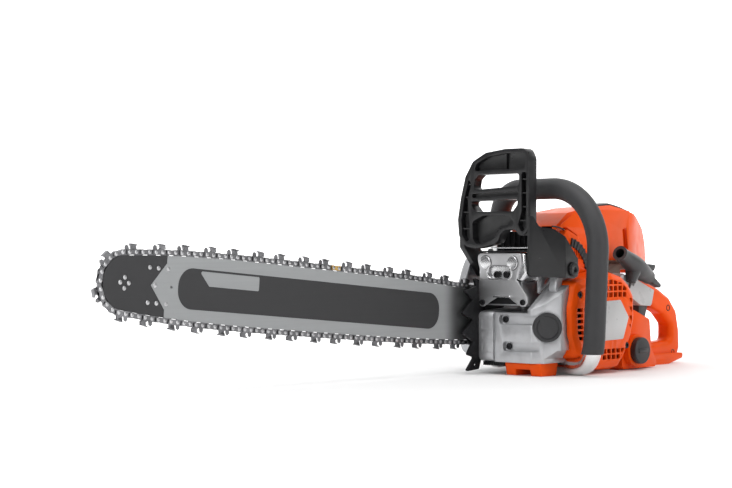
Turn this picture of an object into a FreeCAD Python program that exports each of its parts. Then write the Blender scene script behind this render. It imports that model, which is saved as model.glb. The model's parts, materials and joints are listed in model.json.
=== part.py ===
import FreeCAD, Part
import math
import os

# Chainsaw, in millimetres.  While it is being built the origin is on the crankshaft axis in the
# middle plane of the guide bar: +X to the rear, +Y to the saw's right, +Z up.
# export_all() moves everything so the origin is under the middle of the whole saw.

# ---- driving dimensions -------------------------------------------------------------------
GROUND_Z = -67.8
BAR_TILT_DEG = 5.0

PITCH = 9.525                # distance between chain rivets
DRIVE_LINKS = 84
GAUGE = 1.5                  # drive link thickness
RIVET_ABOVE_RAIL = 3.5
SPROCKET_TEETH = 7
NOSE_TEETH = 11
SPROCKET_R = PITCH / (2 * math.sin(math.pi / (2 * SPROCKET_TEETH)))
NOSE_R = PITCH / (2 * math.sin(math.pi / (2 * NOSE_TEETH)))
BAR_CENTRES = 709.6          # crankshaft axis to nose sprocket axis
BAR_TAIL = 44.0
BAR_WIDTH = 76.6
BAR_HALF_THICKNESS = 2.4
GROOVE_HALF = 0.8
GROOVE_DEPTH = 7.5
NOSE_JOINT = 650.5           # where the dark nose section starts
NOSE_JOINT_TIP = 672.0

ENGINE_Y = -44.0             # middle plane of the cylinder
BORE_R = 25.0
CRANK_THROW = 18.0
ROD_LENGTH = 62.0
CRANK_PIN_R = 7.0
WRIST_PIN_R = 5.5
SHAFT_R = 8.0
WEB_R = 30.5
WEB_THICKNESS = 10.0
CASE_RIGHT_Y = -14.0
CASE_LEFT_Y = -76.0

DRUM_R = 38.0
FLYWHEEL_R = 52.0
PULLEY_R = 33.0
STARTER_FACE_Y = -142.0

TUBE_R = 11.5                # front handle tube
SLEEVE_R = 14.0              # rubber sleeve on it
STUD_R = 4.0

GUARD_PIVOT = (-66.0, 71.0)
GUARD_BACK = -97.0
TRIGGER_PIVOT = (172.0, 26.0)
LOCKOUT_PIVOT = (166.0, 46.0)
LEVER_PIVOT = (160.0, 70.5)
FUEL_CAP = (86.0, -134.0, -41.0)
OIL_CAP = (-98.0, -115.0, -4.0)
GRIP_CENTRE = (92.5, -121.0, 75.0)
GRIP_ALONG = (0.922, 0.135, -0.357)
GRIP_PULL = (0.361, 0.0, 0.933)

EPS = 0.05                   # gap left between parts that only touch


# ---- helpers ------------------------------------------------------------------------------
def vec(x, y, z):
    return FreeCAD.Vector(x, y, z)


def box(x0, x1, y0, y1, z0, z1):
    return Part.makeBox(x1 - x0, y1 - y0, z1 - z0, vec(x0, y0, z0))


def rod(start, direction, length, radius):
    return Part.makeCylinder(radius, length, vec(*start), vec(*direction))


def rod_y(x, z, y0, y1, radius):
    return rod((x, y0, z), (0, 1, 0), y1 - y0, radius)


def ring_y(x, z, y0, y1, outer, inner):
    return rod_y(x, z, y0, y1, outer).cut(rod_y(x, z, y0 - 1, y1 + 1, inner))


def tube_between(a, b, radius):
    a = vec(*a)
    b = vec(*b)
    return Part.makeCylinder(radius, (b - a).Length, a, b - a)


def to_space(axis, u, v, w):
    if axis == "x":
        return vec(w, u, v)
    if axis == "y":
        return vec(u, w, v)
    return vec(u, v, w)


def outline(points, axis, level, radius):
    """Closed wire through the corner points, each corner rounded by radius."""
    count = len(points)
    edges = []
    ends = []
    for i in range(count):
        before = to_space(axis, *points[i - 1], level)
        here = to_space(axis, *points[i], level)
        after = to_space(axis, *points[(i + 1) % count], level)
        back = before - here
        ahead = after - here
        reach = min(back.Length, ahead.Length) * 0.45
        half = back.getAngle(ahead) / 2
        trim = min(radius / max(math.tan(half), 0.05), reach)
        if radius <= 0 or half > 1.54:
            ends.append((here, here))
            continue
        fit = trim * math.tan(half)
        start = here + back.normalize() * trim
        end = here + ahead.normalize() * trim
        middle_way = (start + end) * 0.5 - here
        centre_gap = fit / math.sin(half)
        middle = here + middle_way.normalize() * (centre_gap - fit)
        edges.append((i, Part.Arc(start, middle, end).toShape()))
        ends.append((start, end))
    arcs = dict(edges)
    chain = []
    for i in range(count):
        if i in arcs:
            chain.append(arcs[i])
        a = ends[i][1]
        b = ends[(i + 1) % count][0]
        if (b - a).Length > 1e-6:
            chain.append(Part.makeLine(a, b))
    return Part.Wire(chain)


def prism(points, axis, start, end, radius=0.0):
    """Rounded polygon pushed from start to end along the axis."""
    face = Part.Face(outline(points, axis, start, radius))
    return face.extrude(to_space(axis, 0, 0, end - start))


def loft(sections, axis, radius):
    """Skin through rounded polygons; sections is a list of (level, points)."""
    wires = [outline(points, axis, level, radius) for level, points in sections]
    return Part.makeLoft(wires, True, True)


def fuse(shapes):
    shapes = list(shapes)
    joined = shapes[0]
    if len(shapes) > 1:
        joined = joined.fuse(shapes[1:])
    return joined.removeSplitter()


def cut(shape, tools):
    return shape.cut(list(tools))


def group(shapes):
    return Part.makeCompound(list(shapes))


def turn(shape, degrees, centre=(0, 0, 0), axis=(0, 1, 0)):
    turned = shape.copy()
    turned.rotate(vec(*centre), vec(*axis), degrees)
    return turned


def shift(shape, x, y, z):
    moved = shape.copy()
    moved.translate(vec(x, y, z))
    return moved


def round_edges(shape, radius, wanted):
    """Fillet the edges for which wanted(edge middle point) is true."""
    chosen = []
    for edge in shape.Edges:
        middle = edge.valueAt((edge.FirstParameter + edge.LastParameter) / 2)
        if wanted(middle):
            chosen.append(edge)
    return shape.makeFillet(radius, chosen)


def socket_screw(x, z, y, out, radius=3.4, length=8.0):
    """Socket-head screw along Y; its head sits on plane y and out is +1 or -1."""
    head = rod((x, y, z), (0, out, 0), 3.2, radius)
    shank = rod((x, y, z), (0, -out, 0), length, radius * 0.55)
    key = rod((x, y + out * 1.4, z), (0, out, 0), 3.0, radius * 0.5)
    return fuse([head, shank]).cut(key)


def nut_on_y(x, z, y0, y1, radius):
    corners = [(x + radius * math.cos(math.radians(60 * i + 30)),
                z + radius * math.sin(math.radians(60 * i + 30))) for i in range(6)]
    return prism(corners, "y", y0, y1, 0.4)


# ---- guide bar ----------------------------------------------------------------------------
def half_width(u):
    """Half width of the bar's rail, u measured from the crankshaft axis towards the nose."""
    nose_rail = NOSE_R - RIVET_ABOVE_RAIL
    belly_at = 440.0
    if u <= belly_at:
        t = (belly_at - u) / (belly_at - BAR_TAIL)
        return BAR_WIDTH / 2 - 9.5 * t ** 3.2
    t = (u - belly_at) / (BAR_CENTRES - belly_at)
    return BAR_WIDTH / 2 - (BAR_WIDTH / 2 - nose_rail) * t ** 3.2


def bar_profile(inset, y0, y1):
    """Bar outline moved in by inset, as a solid from y0 to y1 (nose towards -X)."""
    stations = [BAR_TAIL, 90, 140, 210, 320, 440, 540, 610, 660, 690]
    upper = [vec(-u, y0, half_width(u) - inset) for u in stations]
    lower = [vec(-u, y0, inset - half_width(u)) for u in stations]
    nose_r = NOSE_R - RIVET_ABOVE_RAIL - inset
    slope = math.radians(8.0)
    nose_top = vec(-BAR_CENTRES - nose_r * math.sin(slope), y0, nose_r * math.cos(slope))
    nose_tip = vec(-BAR_CENTRES - nose_r, y0, 0)
    nose_low = vec(nose_top.x, y0, -nose_top.z)
    top = Part.BSplineCurve()
    top.interpolate(upper + [nose_top])
    low = Part.BSplineCurve()
    low.interpolate([nose_low] + lower[::-1])
    nose = Part.Arc(nose_top, nose_tip, nose_low)
    tail = Part.Arc(lower[0], vec(-BAR_TAIL + 10, y0, 0), upper[0])
    wire = Part.Wire([top.toShape(), nose.toShape(), low.toShape(), tail.toShape()])
    return Part.Face(wire).extrude(vec(0, y1 - y0, 0))


def bar_blank():
    t = BAR_HALF_THICKNESS
    left = bar_profile(0, -t, -GROOVE_HALF)
    right = bar_profile(0, GROOVE_HALF, t)
    core = bar_profile(GROOVE_DEPTH, -GROOVE_HALF, GROOVE_HALF)
    return fuse([left, core, right])


def nose_zone(inset):
    """Space taken by the nose section; inset leaves the joint gap."""
    a = NOSE_JOINT + inset
    b = NOSE_JOINT_TIP + inset
    points = [(-a, 60), (-a, 26), (-b, 0), (-a, -26), (-a, -60), (-800, -60), (-800, 60)]
    return prism(points, "y", -10, 10)


def nose_rivet_places():
    places = [(BAR_CENTRES + 6 * math.cos(math.radians(90 * i)),
               6 * math.sin(math.radians(90 * i))) for i in range(4)]
    places += [(675, 19.6), (662.5, 19.6), (675, -19.6), (662.5, -19.6)]
    return places


def spot_rivet_places():
    return [(648, 19.6), (666, 0), (648, -19.6)]


def tail_reliefs():
    """Wedges off both tail corners, where the chain leaves the rail for the sprocket."""
    return [prism([(-40, side * 25.8), (-64, side * 30.5), (-64, side * 60), (-40, side * 60)],
                  "y", -10, 10) for side in (-1, 1)]


def guide_bar():
    bar = cut(bar_blank(), [nose_zone(0)] + tail_reliefs())
    slot = prism([(-101, 4.6), (-52, 4.6), (-52, -4.6), (-101, -4.6)], "y", -9, 9, 4.5)
    holes = [slot, rod_y(-69.4, 19.7, -9, 9, 3), rod_y(-69.4, -19.7, -9, 9, 3)]
    holes.append(rod_y(-642, 0, -9, 9, 1.7))
    holes += [rod_y(-u, w, -9, 9, 2.6) for u, w in spot_rivet_places()]
    tongues = [rod_y(-u, w, -9, 9, 2.6) for u, w in nose_rivet_places()[4:]]
    return tilt_bar(cut(bar, holes + tongues))


def bar_nose():
    nose = bar_blank().common(nose_zone(EPS))
    pocket = rod_y(-BAR_CENTRES, 0, -GROOVE_HALF, GROOVE_HALF, NOSE_R - RIVET_ABOVE_RAIL - 1)
    window = nose_zone(EPS + 6)
    holes = [rod_y(-u, w, -9, 9, 2.6) for u, w in nose_rivet_places()]
    nose = cut(nose, [pocket.common(window)] + holes)
    return tilt_bar(nose)


def bar_rivets():
    t = BAR_HALF_THICKNESS
    rivets = []
    for u, w in nose_rivet_places():
        rivets.append(rod_y(-u, w, -t - 0.25, t + 0.25, 2.55))
    for u, w in spot_rivet_places():
        rivets.append(rod_y(-u, w, -t - 0.08, t + 0.08, 2.55))
    return tilt_bar(group(rivets))


def bar_decal():
    """Thin painted panel on each face of the bar, with a lighter tag cut out of it."""
    points = [(-632, 23.4), (-181, 23.4), (-181, -23.4), (-632, -23.4)]
    tag = [(-601.5, 21.0), (-507, 21.0), (-507, 4.4), (-585.5, 4.4)]
    panels = []
    for y0, y1 in ((-BAR_HALF_THICKNESS - 0.12, -BAR_HALF_THICKNESS - 0.01),
                   (BAR_HALF_THICKNESS + 0.01, BAR_HALF_THICKNESS + 0.12)):
        panel = prism(points, "y", y0, y1, 21)
        panels.append(panel.cut(prism(tag, "y", y0 - 1, y1 + 1, 2)))
    return tilt_bar(group(panels))


def nose_sprocket(link_angle):
    """Toothed wheel between the nose's side plates, its gullets under the drive links."""
    root = 23.6
    tip = 27.4
    step = 2 * math.pi / NOSE_TEETH
    points = []
    for i in range(NOSE_TEETH):
        middle = link_angle + step * (i + 0.5)
        for radius, offset in ((root, -6.0), (tip, -2.4), (tip, 2.4), (root, 6.0)):
            angle = middle + math.radians(offset)
            points.append((-BAR_CENTRES + radius * math.cos(angle), radius * math.sin(angle)))
    wheel = prism(points, "y", -0.7, 0.7, 0.3)
    holes = [rod_y(-BAR_CENTRES, 0, -2, 2, 10.5)]
    hub = ring_y(-BAR_CENTRES, 0, -0.7, 0.7, 10.0, 8.7)
    return tilt_bar(group([cut(wheel, holes), hub]))


def tilt_bar(shape):
    return turn(shape, BAR_TILT_DEG)


# ---- chain --------------------------------------------------------------------------------
def chain_path():
    """Points along the rivet line: over the top to the nose and back underneath."""
    upper = []
    u_values = [60 + 10 * i for i in range(65)]
    for u in u_values:
        upper.append((u, half_width(u) + RIVET_ABOVE_RAIL))
    meet = math.atan2(upper[0][1], upper[0][0])
    leave = meet + math.acos(SPROCKET_R / math.hypot(*upper[0]))
    path = []
    for i in range(91):
        angle = math.pi + (leave - math.pi) * i / 90
        path.append((SPROCKET_R * math.cos(angle), SPROCKET_R * math.sin(angle)))
    path += upper
    for i in range(121):
        angle = math.radians(82) * (1 - i / 120)
        path.append((BAR_CENTRES + NOSE_R * math.cos(angle), NOSE_R * math.sin(angle)))
    mirrored = [(u, -w) for u, w in reversed(path[:-1])]
    return path + mirrored


def along(path, lengths, distance):
    total = lengths[-1]
    distance = distance % total
    low = 0
    high = len(lengths) - 1
    while high - low > 1:
        middle = (low + high) // 2
        if lengths[middle] <= distance:
            low = middle
        else:
            high = middle
    share = (distance - lengths[low]) / (lengths[high] - lengths[low])
    a = path[low]
    b = path[high]
    return (a[0] + (b[0] - a[0]) * share, a[1] + (b[1] - a[1]) * share)


def march(path, lengths, chord, count):
    """Distances along the path of rivets a fixed chord apart."""
    distances = [0.0]
    for _ in range(count):
        here = along(path, lengths, distances[-1])
        guess = distances[-1] + chord
        for _ in range(6):
            there = along(path, lengths, guess)
            guess += chord - math.hypot(there[0] - here[0], there[1] - here[1])
        distances.append(guess)
    return distances


def rivet_places():
    """All rivets of the closed chain loop, as (u, w), with the pitch closed exactly."""
    path = chain_path()
    lengths = [0.0]
    for a, b in zip(path, path[1:]):
        lengths.append(lengths[-1] + math.hypot(b[0] - a[0], b[1] - a[1]))
    count = 2 * DRIVE_LINKS
    low = PITCH * 0.98
    high = PITCH * 1.02
    for _ in range(40):
        chord = (low + high) / 2
        if march(path, lengths, chord, count)[-1] > lengths[-1]:
            high = chord
        else:
            low = chord
    distances = march(path, lengths, chord, count)
    return [along(path, lengths, d) for d in distances[:count]], chord


def place_link(shape, a, b):
    """Lay a link drawn along +X about the origin on the chord from a to b (u, w)."""
    middle = ((a[0] + b[0]) / 2, (a[1] + b[1]) / 2)
    angle = math.degrees(math.atan2(b[1] - a[1], -(b[0] - a[0])))
    placed = shape.copy()
    placed.rotate(vec(0, 0, 0), vec(0, 1, 0), -angle)
    placed.translate(vec(-middle[0], 0, middle[1]))
    return placed


# Links are drawn with travel along +X and the outside of the loop towards -Z, so that
# place_link puts them the right way up on the top run.
def strap_outline(reach):
    half = PITCH / 2
    return [(-half - reach, 2.2), (-half - reach, -2.6), (-half - 1, -3.3), (0, -2.5),
            (half + 1, -3.3), (half + reach, -2.6), (half + reach, 2.2),
            (half + 1, 2.85), (-half - 1, 2.85)]


def rivet_holes():
    half = PITCH / 2
    return [rod_y(-half, 0, -9, 9, 1.8), rod_y(half, 0, -9, 9, 1.8)]


def drive_link():
    half = PITCH / 2
    points = [(-half - 3.1, -1.6), (-half - 1, -3.2), (half + 1, -3.2), (half + 3.1, -1.6),
              (half + 3.1, 1.6), (half + 0.6, 3.5), (3.0, 8.2), (1.0, 9.1), (-0.8, 8.4),
              (-2.6, 5.4), (-half - 0.6, 3.5), (-half - 3.1, 1.6)]
    return cut(prism(points, "y", -GAUGE / 2, GAUGE / 2, 0.6), rivet_holes())


def tie_strap(side):
    inner = 0.82
    outer = 1.95
    low, high = sorted((side * inner, side * outer))
    return cut(prism(strap_outline(3.1), "y", low, high, 1.0), rivet_holes())


def cutter(side):
    """Cutting link: depth gauge in front, then a side plate with the top plate over it."""
    half = PITCH / 2
    base = [(-half - 3.3, 2.4), (-half - 3.6, -2.4), (-half - 1.6, -5.0), (-0.6, -5.0),
            (1.2, -3.4), (half - 1.6, -3.4), (half - 0.6, -7.2), (half + 2.2, -8.4),
            (half + 4.0, -6.0), (half + 3.6, 2.2), (half + 1, 2.85), (-half - 1, 2.85)]
    side_plate = [(-half - 3.4, -3.6), (-half - 2.6, -8.0), (1.4, -9.0), (-0.6, -3.6)]
    top_plate = [(-half - 2.8, -7.2), (-half - 2.8, -8.6), (1.6, -9.8), (1.0, -8.4)]
    low, high = sorted((side * 0.82, side * 1.95))
    body = prism(base, "y", low, high, 0.5)
    low, high = sorted((side * 1.5, side * 3.4))
    wall = prism(side_plate, "y", low, high, 0.3)
    low, high = sorted((side * 3.5, side * -0.9))
    roof = prism(top_plate, "y", low, high, 0.2)
    return cut(fuse([body, wall, roof]), rivet_holes())


def chain_rivet():
    shank = rod_y(0, 0, -2.0, 2.0, 1.75)
    heads = [rod_y(0, 0, -2.4, -1.98, 2.25), rod_y(0, 0, 1.98, 2.4, 2.25)]
    return fuse([shank] + heads)


def build_chain(nodes):
    rivets, chord = rivet_places()
    count = len(rivets)
    links = {"drive_links": [], "tie_straps": [], "cutters": [], "chain_rivets": [],
             "closing_strap": []}
    drive = drive_link()
    straps = {side: tie_strap(side) for side in (-1, 1)}
    cutters = {side: cutter(side) for side in (-1, 1)}
    pin = chain_rivet()
    closing_at = 2 * DRIVE_LINKS // 4
    for i in range(count):
        a = rivets[i]
        b = rivets[(i + 1) % count]
        links["chain_rivets"].append(shift(pin, -a[0], 0, a[1]))
        if i % 2 == 0:
            links["drive_links"].append(place_link(drive, a, b))
        elif i % 4 == 1:
            side = -1 if i % 8 == 1 else 1
            links["cutters"].append(place_link(cutters[side], a, b))
            links["tie_straps"].append(place_link(straps[-side], a, b))
        else:
            links["tie_straps"].append(place_link(straps[1], a, b))
            near = "closing_strap" if i == closing_at + 1 else "tie_straps"
            links[near].append(place_link(straps[-1], a, b))
    for name, shapes in links.items():
        nodes[name] = tilt_bar(group(shapes))
    return rivets


def link_angle_near(rivets, centre, direction):
    """Angle about a sprocket centre of the drive link nearest to the given direction."""
    best = None
    for i in range(0, len(rivets), 2):
        a = rivets[i]
        b = rivets[(i + 1) % len(rivets)]
        x = -(a[0] + b[0]) / 2 + centre
        z = (a[1] + b[1]) / 2
        miss = abs(math.hypot(x, z) * (1 if x * direction > 0 else -1) - 20)
        off = abs(math.atan2(z, x * direction))
        if best is None or off + miss * 1e-6 < best[0]:
            best = (off + miss * 1e-6, math.atan2(z, x))
    return best[1]


def rim_sprocket(link_angle):
    """Splined rim with a pocket for every drive link."""
    rail = SPROCKET_R - 3.8
    rim = ring_y(0, 0, -4.0, 4.0, rail, 10.2)
    grooves = []
    for i in range(SPROCKET_TEETH):
        angle = math.degrees(link_angle) + 360.0 * i / SPROCKET_TEETH
        pocket = box(11.4, 30, -1.2, 1.2, -5.6, 5.6)
        grooves.append(turn(pocket, -angle))
    return tilt_bar(cut(rim, grooves))


# ---- clutch side --------------------------------------------------------------------------
def clutch_drum():
    cup = ring_y(0, 0, 6.0, 28.0, DRUM_R, DRUM_R - 2.2)
    web = ring_y(0, 0, 6.0, 8.2, DRUM_R - 0.5, 9.0)
    hub = ring_y(0, 0, -5.0, 8.2, 10.1, SHAFT_R + 0.05)
    holes = [rod_y(24 * math.cos(a), 24 * math.sin(a), 0, 12, 4.5)
             for a in (math.radians(60 * i) for i in range(6))]
    return cut(fuse([cup, web, hub]), holes)


def clutch_hub():
    body = ring_y(0, 0, 10.0, 24.0, 13.0, SHAFT_R)
    arms = [turn(box(8, 24, 11, 23, -4.5, 4.5), 120 * i) for i in range(3)]
    nut = nut_on_y(0, 0, 24.0, 30.0, 10.5).cut(rod_y(0, 0, 20, 40, SHAFT_R))
    return fuse([body, nut] + arms).cut(rod_y(0, 0, 0, 40, SHAFT_R))


def clutch_shoes():
    shoes = []
    for i in range(3):
        shoe = ring_y(0, 0, 10.5, 23.5, DRUM_R - 3.4, 19.0)
        start = math.radians(4)
        end = math.radians(116)
        middle = (start + end) / 2
        wedge = [(0, 0)] + [(90 * math.cos(a), 90 * math.sin(a)) for a in (start, middle, end)]
        shoe = shoe.common(prism(wedge, "y", 0, 40))
        shoe = shoe.cut([box(8, 24.6, 9, 25, -5, 5), turn(box(8, 24.6, 9, 25, -5, 5), -120)])
        groove = ring_y(0, 0, 14.5, 19.5, 26.4, 23.4)
        shoes.append(turn(shoe.cut(groove), 120 * i))
    return group(shoes)


def clutch_springs():
    spring = Part.makeTorus(24.9, 1.3, vec(0, 17, 0), vec(0, 1, 0))
    keep = []
    for i in range(3):
        wedge = [(0, 0), (60 * math.cos(math.radians(16)), 60 * math.sin(math.radians(16))),
                 (60, 60), (60 * math.cos(math.radians(104)), 60 * math.sin(math.radians(104)))]
        keep.append(turn(spring.common(prism(wedge, "y", 10, 24)), 120 * i))
    return group(keep)


def brake_band():
    band = ring_y(0, 0, 13.0, 24.0, DRUM_R + 1.6, DRUM_R + 0.6)
    gap = prism([(0, 0), (-60, 34), (-60, 10)], "y", 0, 40)
    anchor = box(-44, -38, 13.0, 24.0, 9, 14)
    return fuse([band.cut(gap), anchor.cut(rod_y(0, 0, 0, 40, DRUM_R + 0.6))])


def oil_pump():
    body = box(-36, -14, CASE_RIGHT_Y + EPS, -6.6, -40, -24)
    worm = ring_y(0, 0, CASE_RIGHT_Y + EPS, -6.6, 12.0, SHAFT_R + 0.05)
    pipe = box(-60, -36, CASE_RIGHT_Y + EPS, -9.5, -34, -30)
    screws = [rod_y(-32, -32, -6.6, -5.0, 2.4), rod_y(-18, -32, -6.6, -5.0, 2.4)]
    return group([fuse([body, pipe] + screws), worm])


def cover_outline(grow):
    points = [(-92, -42), (-100, -12), (-102, 46), (-84, 86), (-62, 96), (-38, 92), (8, 64),
              (46, 46), (60, 8), (54, -34), (20, -54), (-60, -54)]
    return grow_outline(points, (-30.0, 5.0), grow)


def grow_outline(points, centre, grow):
    """Move every point straight away from the centre by grow."""
    grown = []
    for u, v in points:
        distance = math.hypot(u - centre[0], v - centre[1])
        share = (distance + grow) / distance
        grown.append((centre[0] + (u - centre[0]) * share, centre[1] + (v - centre[1]) * share))
    return grown


def clutch_cover():
    """Cast cover over sprocket and clutch; its front is open where the bar leaves."""
    start = CASE_RIGHT_Y + EPS
    shell = loft([(start, cover_outline(0)), (34.0, cover_outline(-2)),
                  (45.0, cover_outline(-14))], "y", 16)
    hollow = loft([(start - 1, cover_outline(-3.5)), (31.0, cover_outline(-5.5)),
                   (41.5, cover_outline(-17))], "y", 14)
    pad = prism([(-100, -8), (-50, -8), (-50, 20), (-100, 22)], "y", 8.0, 43.0, 6)
    ribs = [box(-74 + 16 * i, -70 + 16 * i, 40, 46.5, -30, 36) for i in range(7)]
    inside = prism(cover_outline(-22), "y", 0, 60, 12)
    pivot_boss = rod_y(GUARD_PIVOT[0], GUARD_PIVOT[1], 24.0, 42.0, 10.0)
    shell = fuse([shell.cut(hollow), pad, pivot_boss] + [rib.common(inside) for rib in ribs])
    studs = [rod_y(x, z, 0, 60, STUD_R + 0.5) for x, z in stud_places()]
    seats = [rod_y(x, z, 43.0, 60, 9.5) for x, z in stud_places()]
    bar_gate = box(-140, -46, -20, 6, -46, 52)
    upper = box(-140, 60, -20, 23.0, 52, 120)
    pivot_bore = rod_y(GUARD_PIVOT[0], GUARD_PIVOT[1], 20, 39.0, 5.0)
    clear = [box(-73, -35.5, -14, -1.5, -63, -43), box(-18.5, 16.5, 12.9, 48.5, 67.5, 99),
             box(42, 61, -5.5, 13.5, -30, -10)]
    return cut(shell, studs + seats + clear + [bar_gate, upper, pivot_bore])


def stud_places():
    tilt = math.radians(BAR_TILT_DEG)
    return [(-u * math.cos(tilt), u * math.sin(tilt)) for u in (62.0, 88.0)]


def bar_studs():
    return group([rod_y(x, z, CASE_RIGHT_Y - 22, 52.0, STUD_R) for x, z in stud_places()])


def bar_nuts():
    nuts = []
    for x, z in stud_places():
        nut = fuse([nut_on_y(x, z, 43.05, 50.0, 7.4), rod_y(x, z, 43.05, 44.6, 8.6)])
        nuts.append(nut.cut(rod_y(x, z, 0, 60, STUD_R)))
    return group(nuts)


def chain_tensioner():
    """Long adjusting screw beside the bar with the pin that enters the bar."""
    screw = rod((-94, 6.5, 27.5), (1, 0, 0), 36, 2.0)
    block = box(-72, -60, 3.0, 7.9, 23.5, 31.5)
    pin = rod_y(-67.4, 25.7, -2.0, 4.0, 2.5)
    head = rod((-96, 6.5, 27.5), (1, 0, 0), 4, 2.8)
    return fuse([screw, head, block, pin])


def chain_catcher():
    body = prism([(-70, -62), (-40, -62), (-36, -52), (-48, -44), (-72, -50)], "y", -12, -2, 3)
    return cut(body, [rod_y(-54, -54, -20, 5, 2.6)])


def bumper_spikes():
    points = [(-100, 52), (-122, 60), (-117, 48), (-142, 42), (-124, 30), (-146, 12),
              (-124, 4), (-146, -14), (-124, -24), (-136, -42), (-122, -46), (-138, -64),
              (-112, -62), (-104, -40), (-100, -34)]
    plate = prism(points, "y", CASE_RIGHT_Y + EPS, CASE_RIGHT_Y + 4, 1.6)
    holes = [rod_y(-106, 40, -20, 0, 2.6), rod_y(-106, -20, -20, 0, 2.6),
             rod_y(-119, -56, -20, 0, 2.6)]
    return cut(plate, holes)


# ---- crankcase ----------------------------------------------------------------------------
def chamber():
    return rod_y(0, 0, ENGINE_Y - 17, ENGINE_Y + 17, WEB_R + 5.5)


def crankcase_right():
    """Right half: bar pad, right bearing seat and the narrow front strip."""
    points = [(-112, -51), (-113, 14), (-100, 16), (-60, 18), (-52, 36), (50, 36), (60, 20),
              (60, -50), (40, -61), (-40, -61), (-54, -51)]
    body = prism(points, "y", ENGINE_Y + 6, CASE_RIGHT_Y, 7)
    body = fuse([body, rod_y(0, 0, ENGINE_Y, CASE_RIGHT_Y, 48)])
    body = fuse([body, box(-52, 50, ENGINE_Y, ENGINE_Y + 7, -40, 34)])
    cuts = [chamber(), rod_y(0, 0, -40, 10, 20.0), box(-60, 60, -60, 0, 36.0, 60)]
    cuts += [rod_y(x, z, CASE_RIGHT_Y - 22, 60, STUD_R) for x, z in stud_places()]
    cuts.append(rod((0, ENGINE_Y, 0), (0, 0, 1), 60, 31.0))
    cuts.append(box(-104, -56, ENGINE_Y + 10, -22, -54, 0))
    return cut(body, cuts).common(box(-200, 200, ENGINE_Y + EPS, 50, -70, 100))


def crankcase_left():
    """Left half: left bearing seat and the front oil tank with its slanted corner."""
    plan = [(-113, ENGINE_Y + 6 - EPS), (-113, -102), (-104, -116), (-86, -130), (-62, -131),
            (-50, -126), (-50, ENGINE_Y + 6 - EPS)]
    tank = prism(plan, "z", -51, 66, 5)
    deck = prism([(-130, 14), (-49, 14), (-49, 90), (-130, 90)], "y", -96, 0)
    slope = prism([(-130, 6), (-60, 58), (-60, 90), (-130, 90)], "y", -150, -90)
    tank = cut(tank, [deck, slope])
    under = prism([(-62, -80), (-30, -80), (-30, 10), (-46, 10)], "y", -140, -112)
    corner = prism([(-116, -51), (-116, -45), (-127, -34), (-150, -34), (-150, -60), (-116, -60)],
                   "x", -120, -40)
    knuckle_room = box(-66, -40, -140, -118.9, 54, 70)
    tank = cut(tank, [under, corner, knuckle_room])
    arm = prism([(-84, 40), (-52, 40), (-50, 76), (-62, 84), (-76, 80)], "y", -119, -108, 6)
    arm = arm.cut(rod_y(GUARD_PIVOT[0], GUARD_PIVOT[1], -140, -100, 5.0))
    block = prism([(-52, -61), (-52, 36), (50, 36), (60, 20), (60, -50), (40, -61)], "y",
                  CASE_LEFT_Y, ENGINE_Y - EPS, 7)
    body = fuse([tank, block, rod_y(0, 0, CASE_LEFT_Y, ENGINE_Y, 48), arm])
    cuts = [chamber(), rod_y(0, 0, -80, ENGINE_Y, 20.0), box(-56, 60, -90, 0, 36.0, 60)]
    cuts.append(rod((0, ENGINE_Y, 0), (0, 0, 1), 60, 31.0))
    cuts.append(prism([(-104, -54), (-104, 6), (-58, 6), (-58, -54)], "y", -104, -50, 6))
    nick = box(-60, 80, ENGINE_Y - EPS, ENGINE_Y + 20, -100, 100)
    cuts.append(nick)
    cuts += front_slots()
    cuts += [oil_cap_axis_rod(-8.0, 3.2, 14.0), oil_cap_axis_rod(3.1, 30.0, 19.2)]
    cuts.append(rod_y(0, 0, -109.0, -81.0, FLYWHEEL_R + 1.5))
    behind = prism(starter_profile(3.4), "y", -160, -105.6)
    cuts.append(behind.common(box(-70.3, 100, -160, -100, -100, 100)))
    cuts.append(sweep(front_handle_points(), TUBE_R + 0.1))
    return cut(body, cuts)


def front_slots():
    slots = []
    for z0, z1, y1 in ((-1.5, 11.5, -49), (-36.5, -23.5, -55)):
        slots.append(prism([(y1, z0), (y1, z1), (-112, z1), (-112, z0)], "x", -121, -107, 5))
    return slots


def oil_cap_axis_rod(start, end, radius):
    """Cylinder along the oil filler's axis, which points to the front-left corner."""
    direction = vec(-0.66, -0.75, 0.0).normalize()
    base = vec(*OIL_CAP) + direction * start
    return Part.makeCylinder(radius, end - start, base, direction)


def crankcase_screws():
    screws = []
    for z, y in ((5.0, -56), (-30.0, -62)):
        head = rod((-110, y, z), (1, 0, 0), 3.0, 4.2)
        key = rod((-111, y, z), (1, 0, 0), 2.4, 2.1)
        screws.append(head.cut(key))
    for x, z in ((-106, 40.0), (-106, -20.0)):
        screws.append(socket_screw(x, z, CASE_RIGHT_Y + 4 + EPS, 1, 3.6, 3.9))
    return group(screws)


def front_foot():
    foot = prism([(-110, -51.05), (-70, -51.05), (-74, GROUND_Z), (-106, GROUND_Z)], "y",
                 -113, -56, 2)
    notch = prism([(-120, -80), (-70, -80), (-70, -58), (-100, -58), (-120, -62)], "y", -96, -72)
    return foot.cut(notch)


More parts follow.
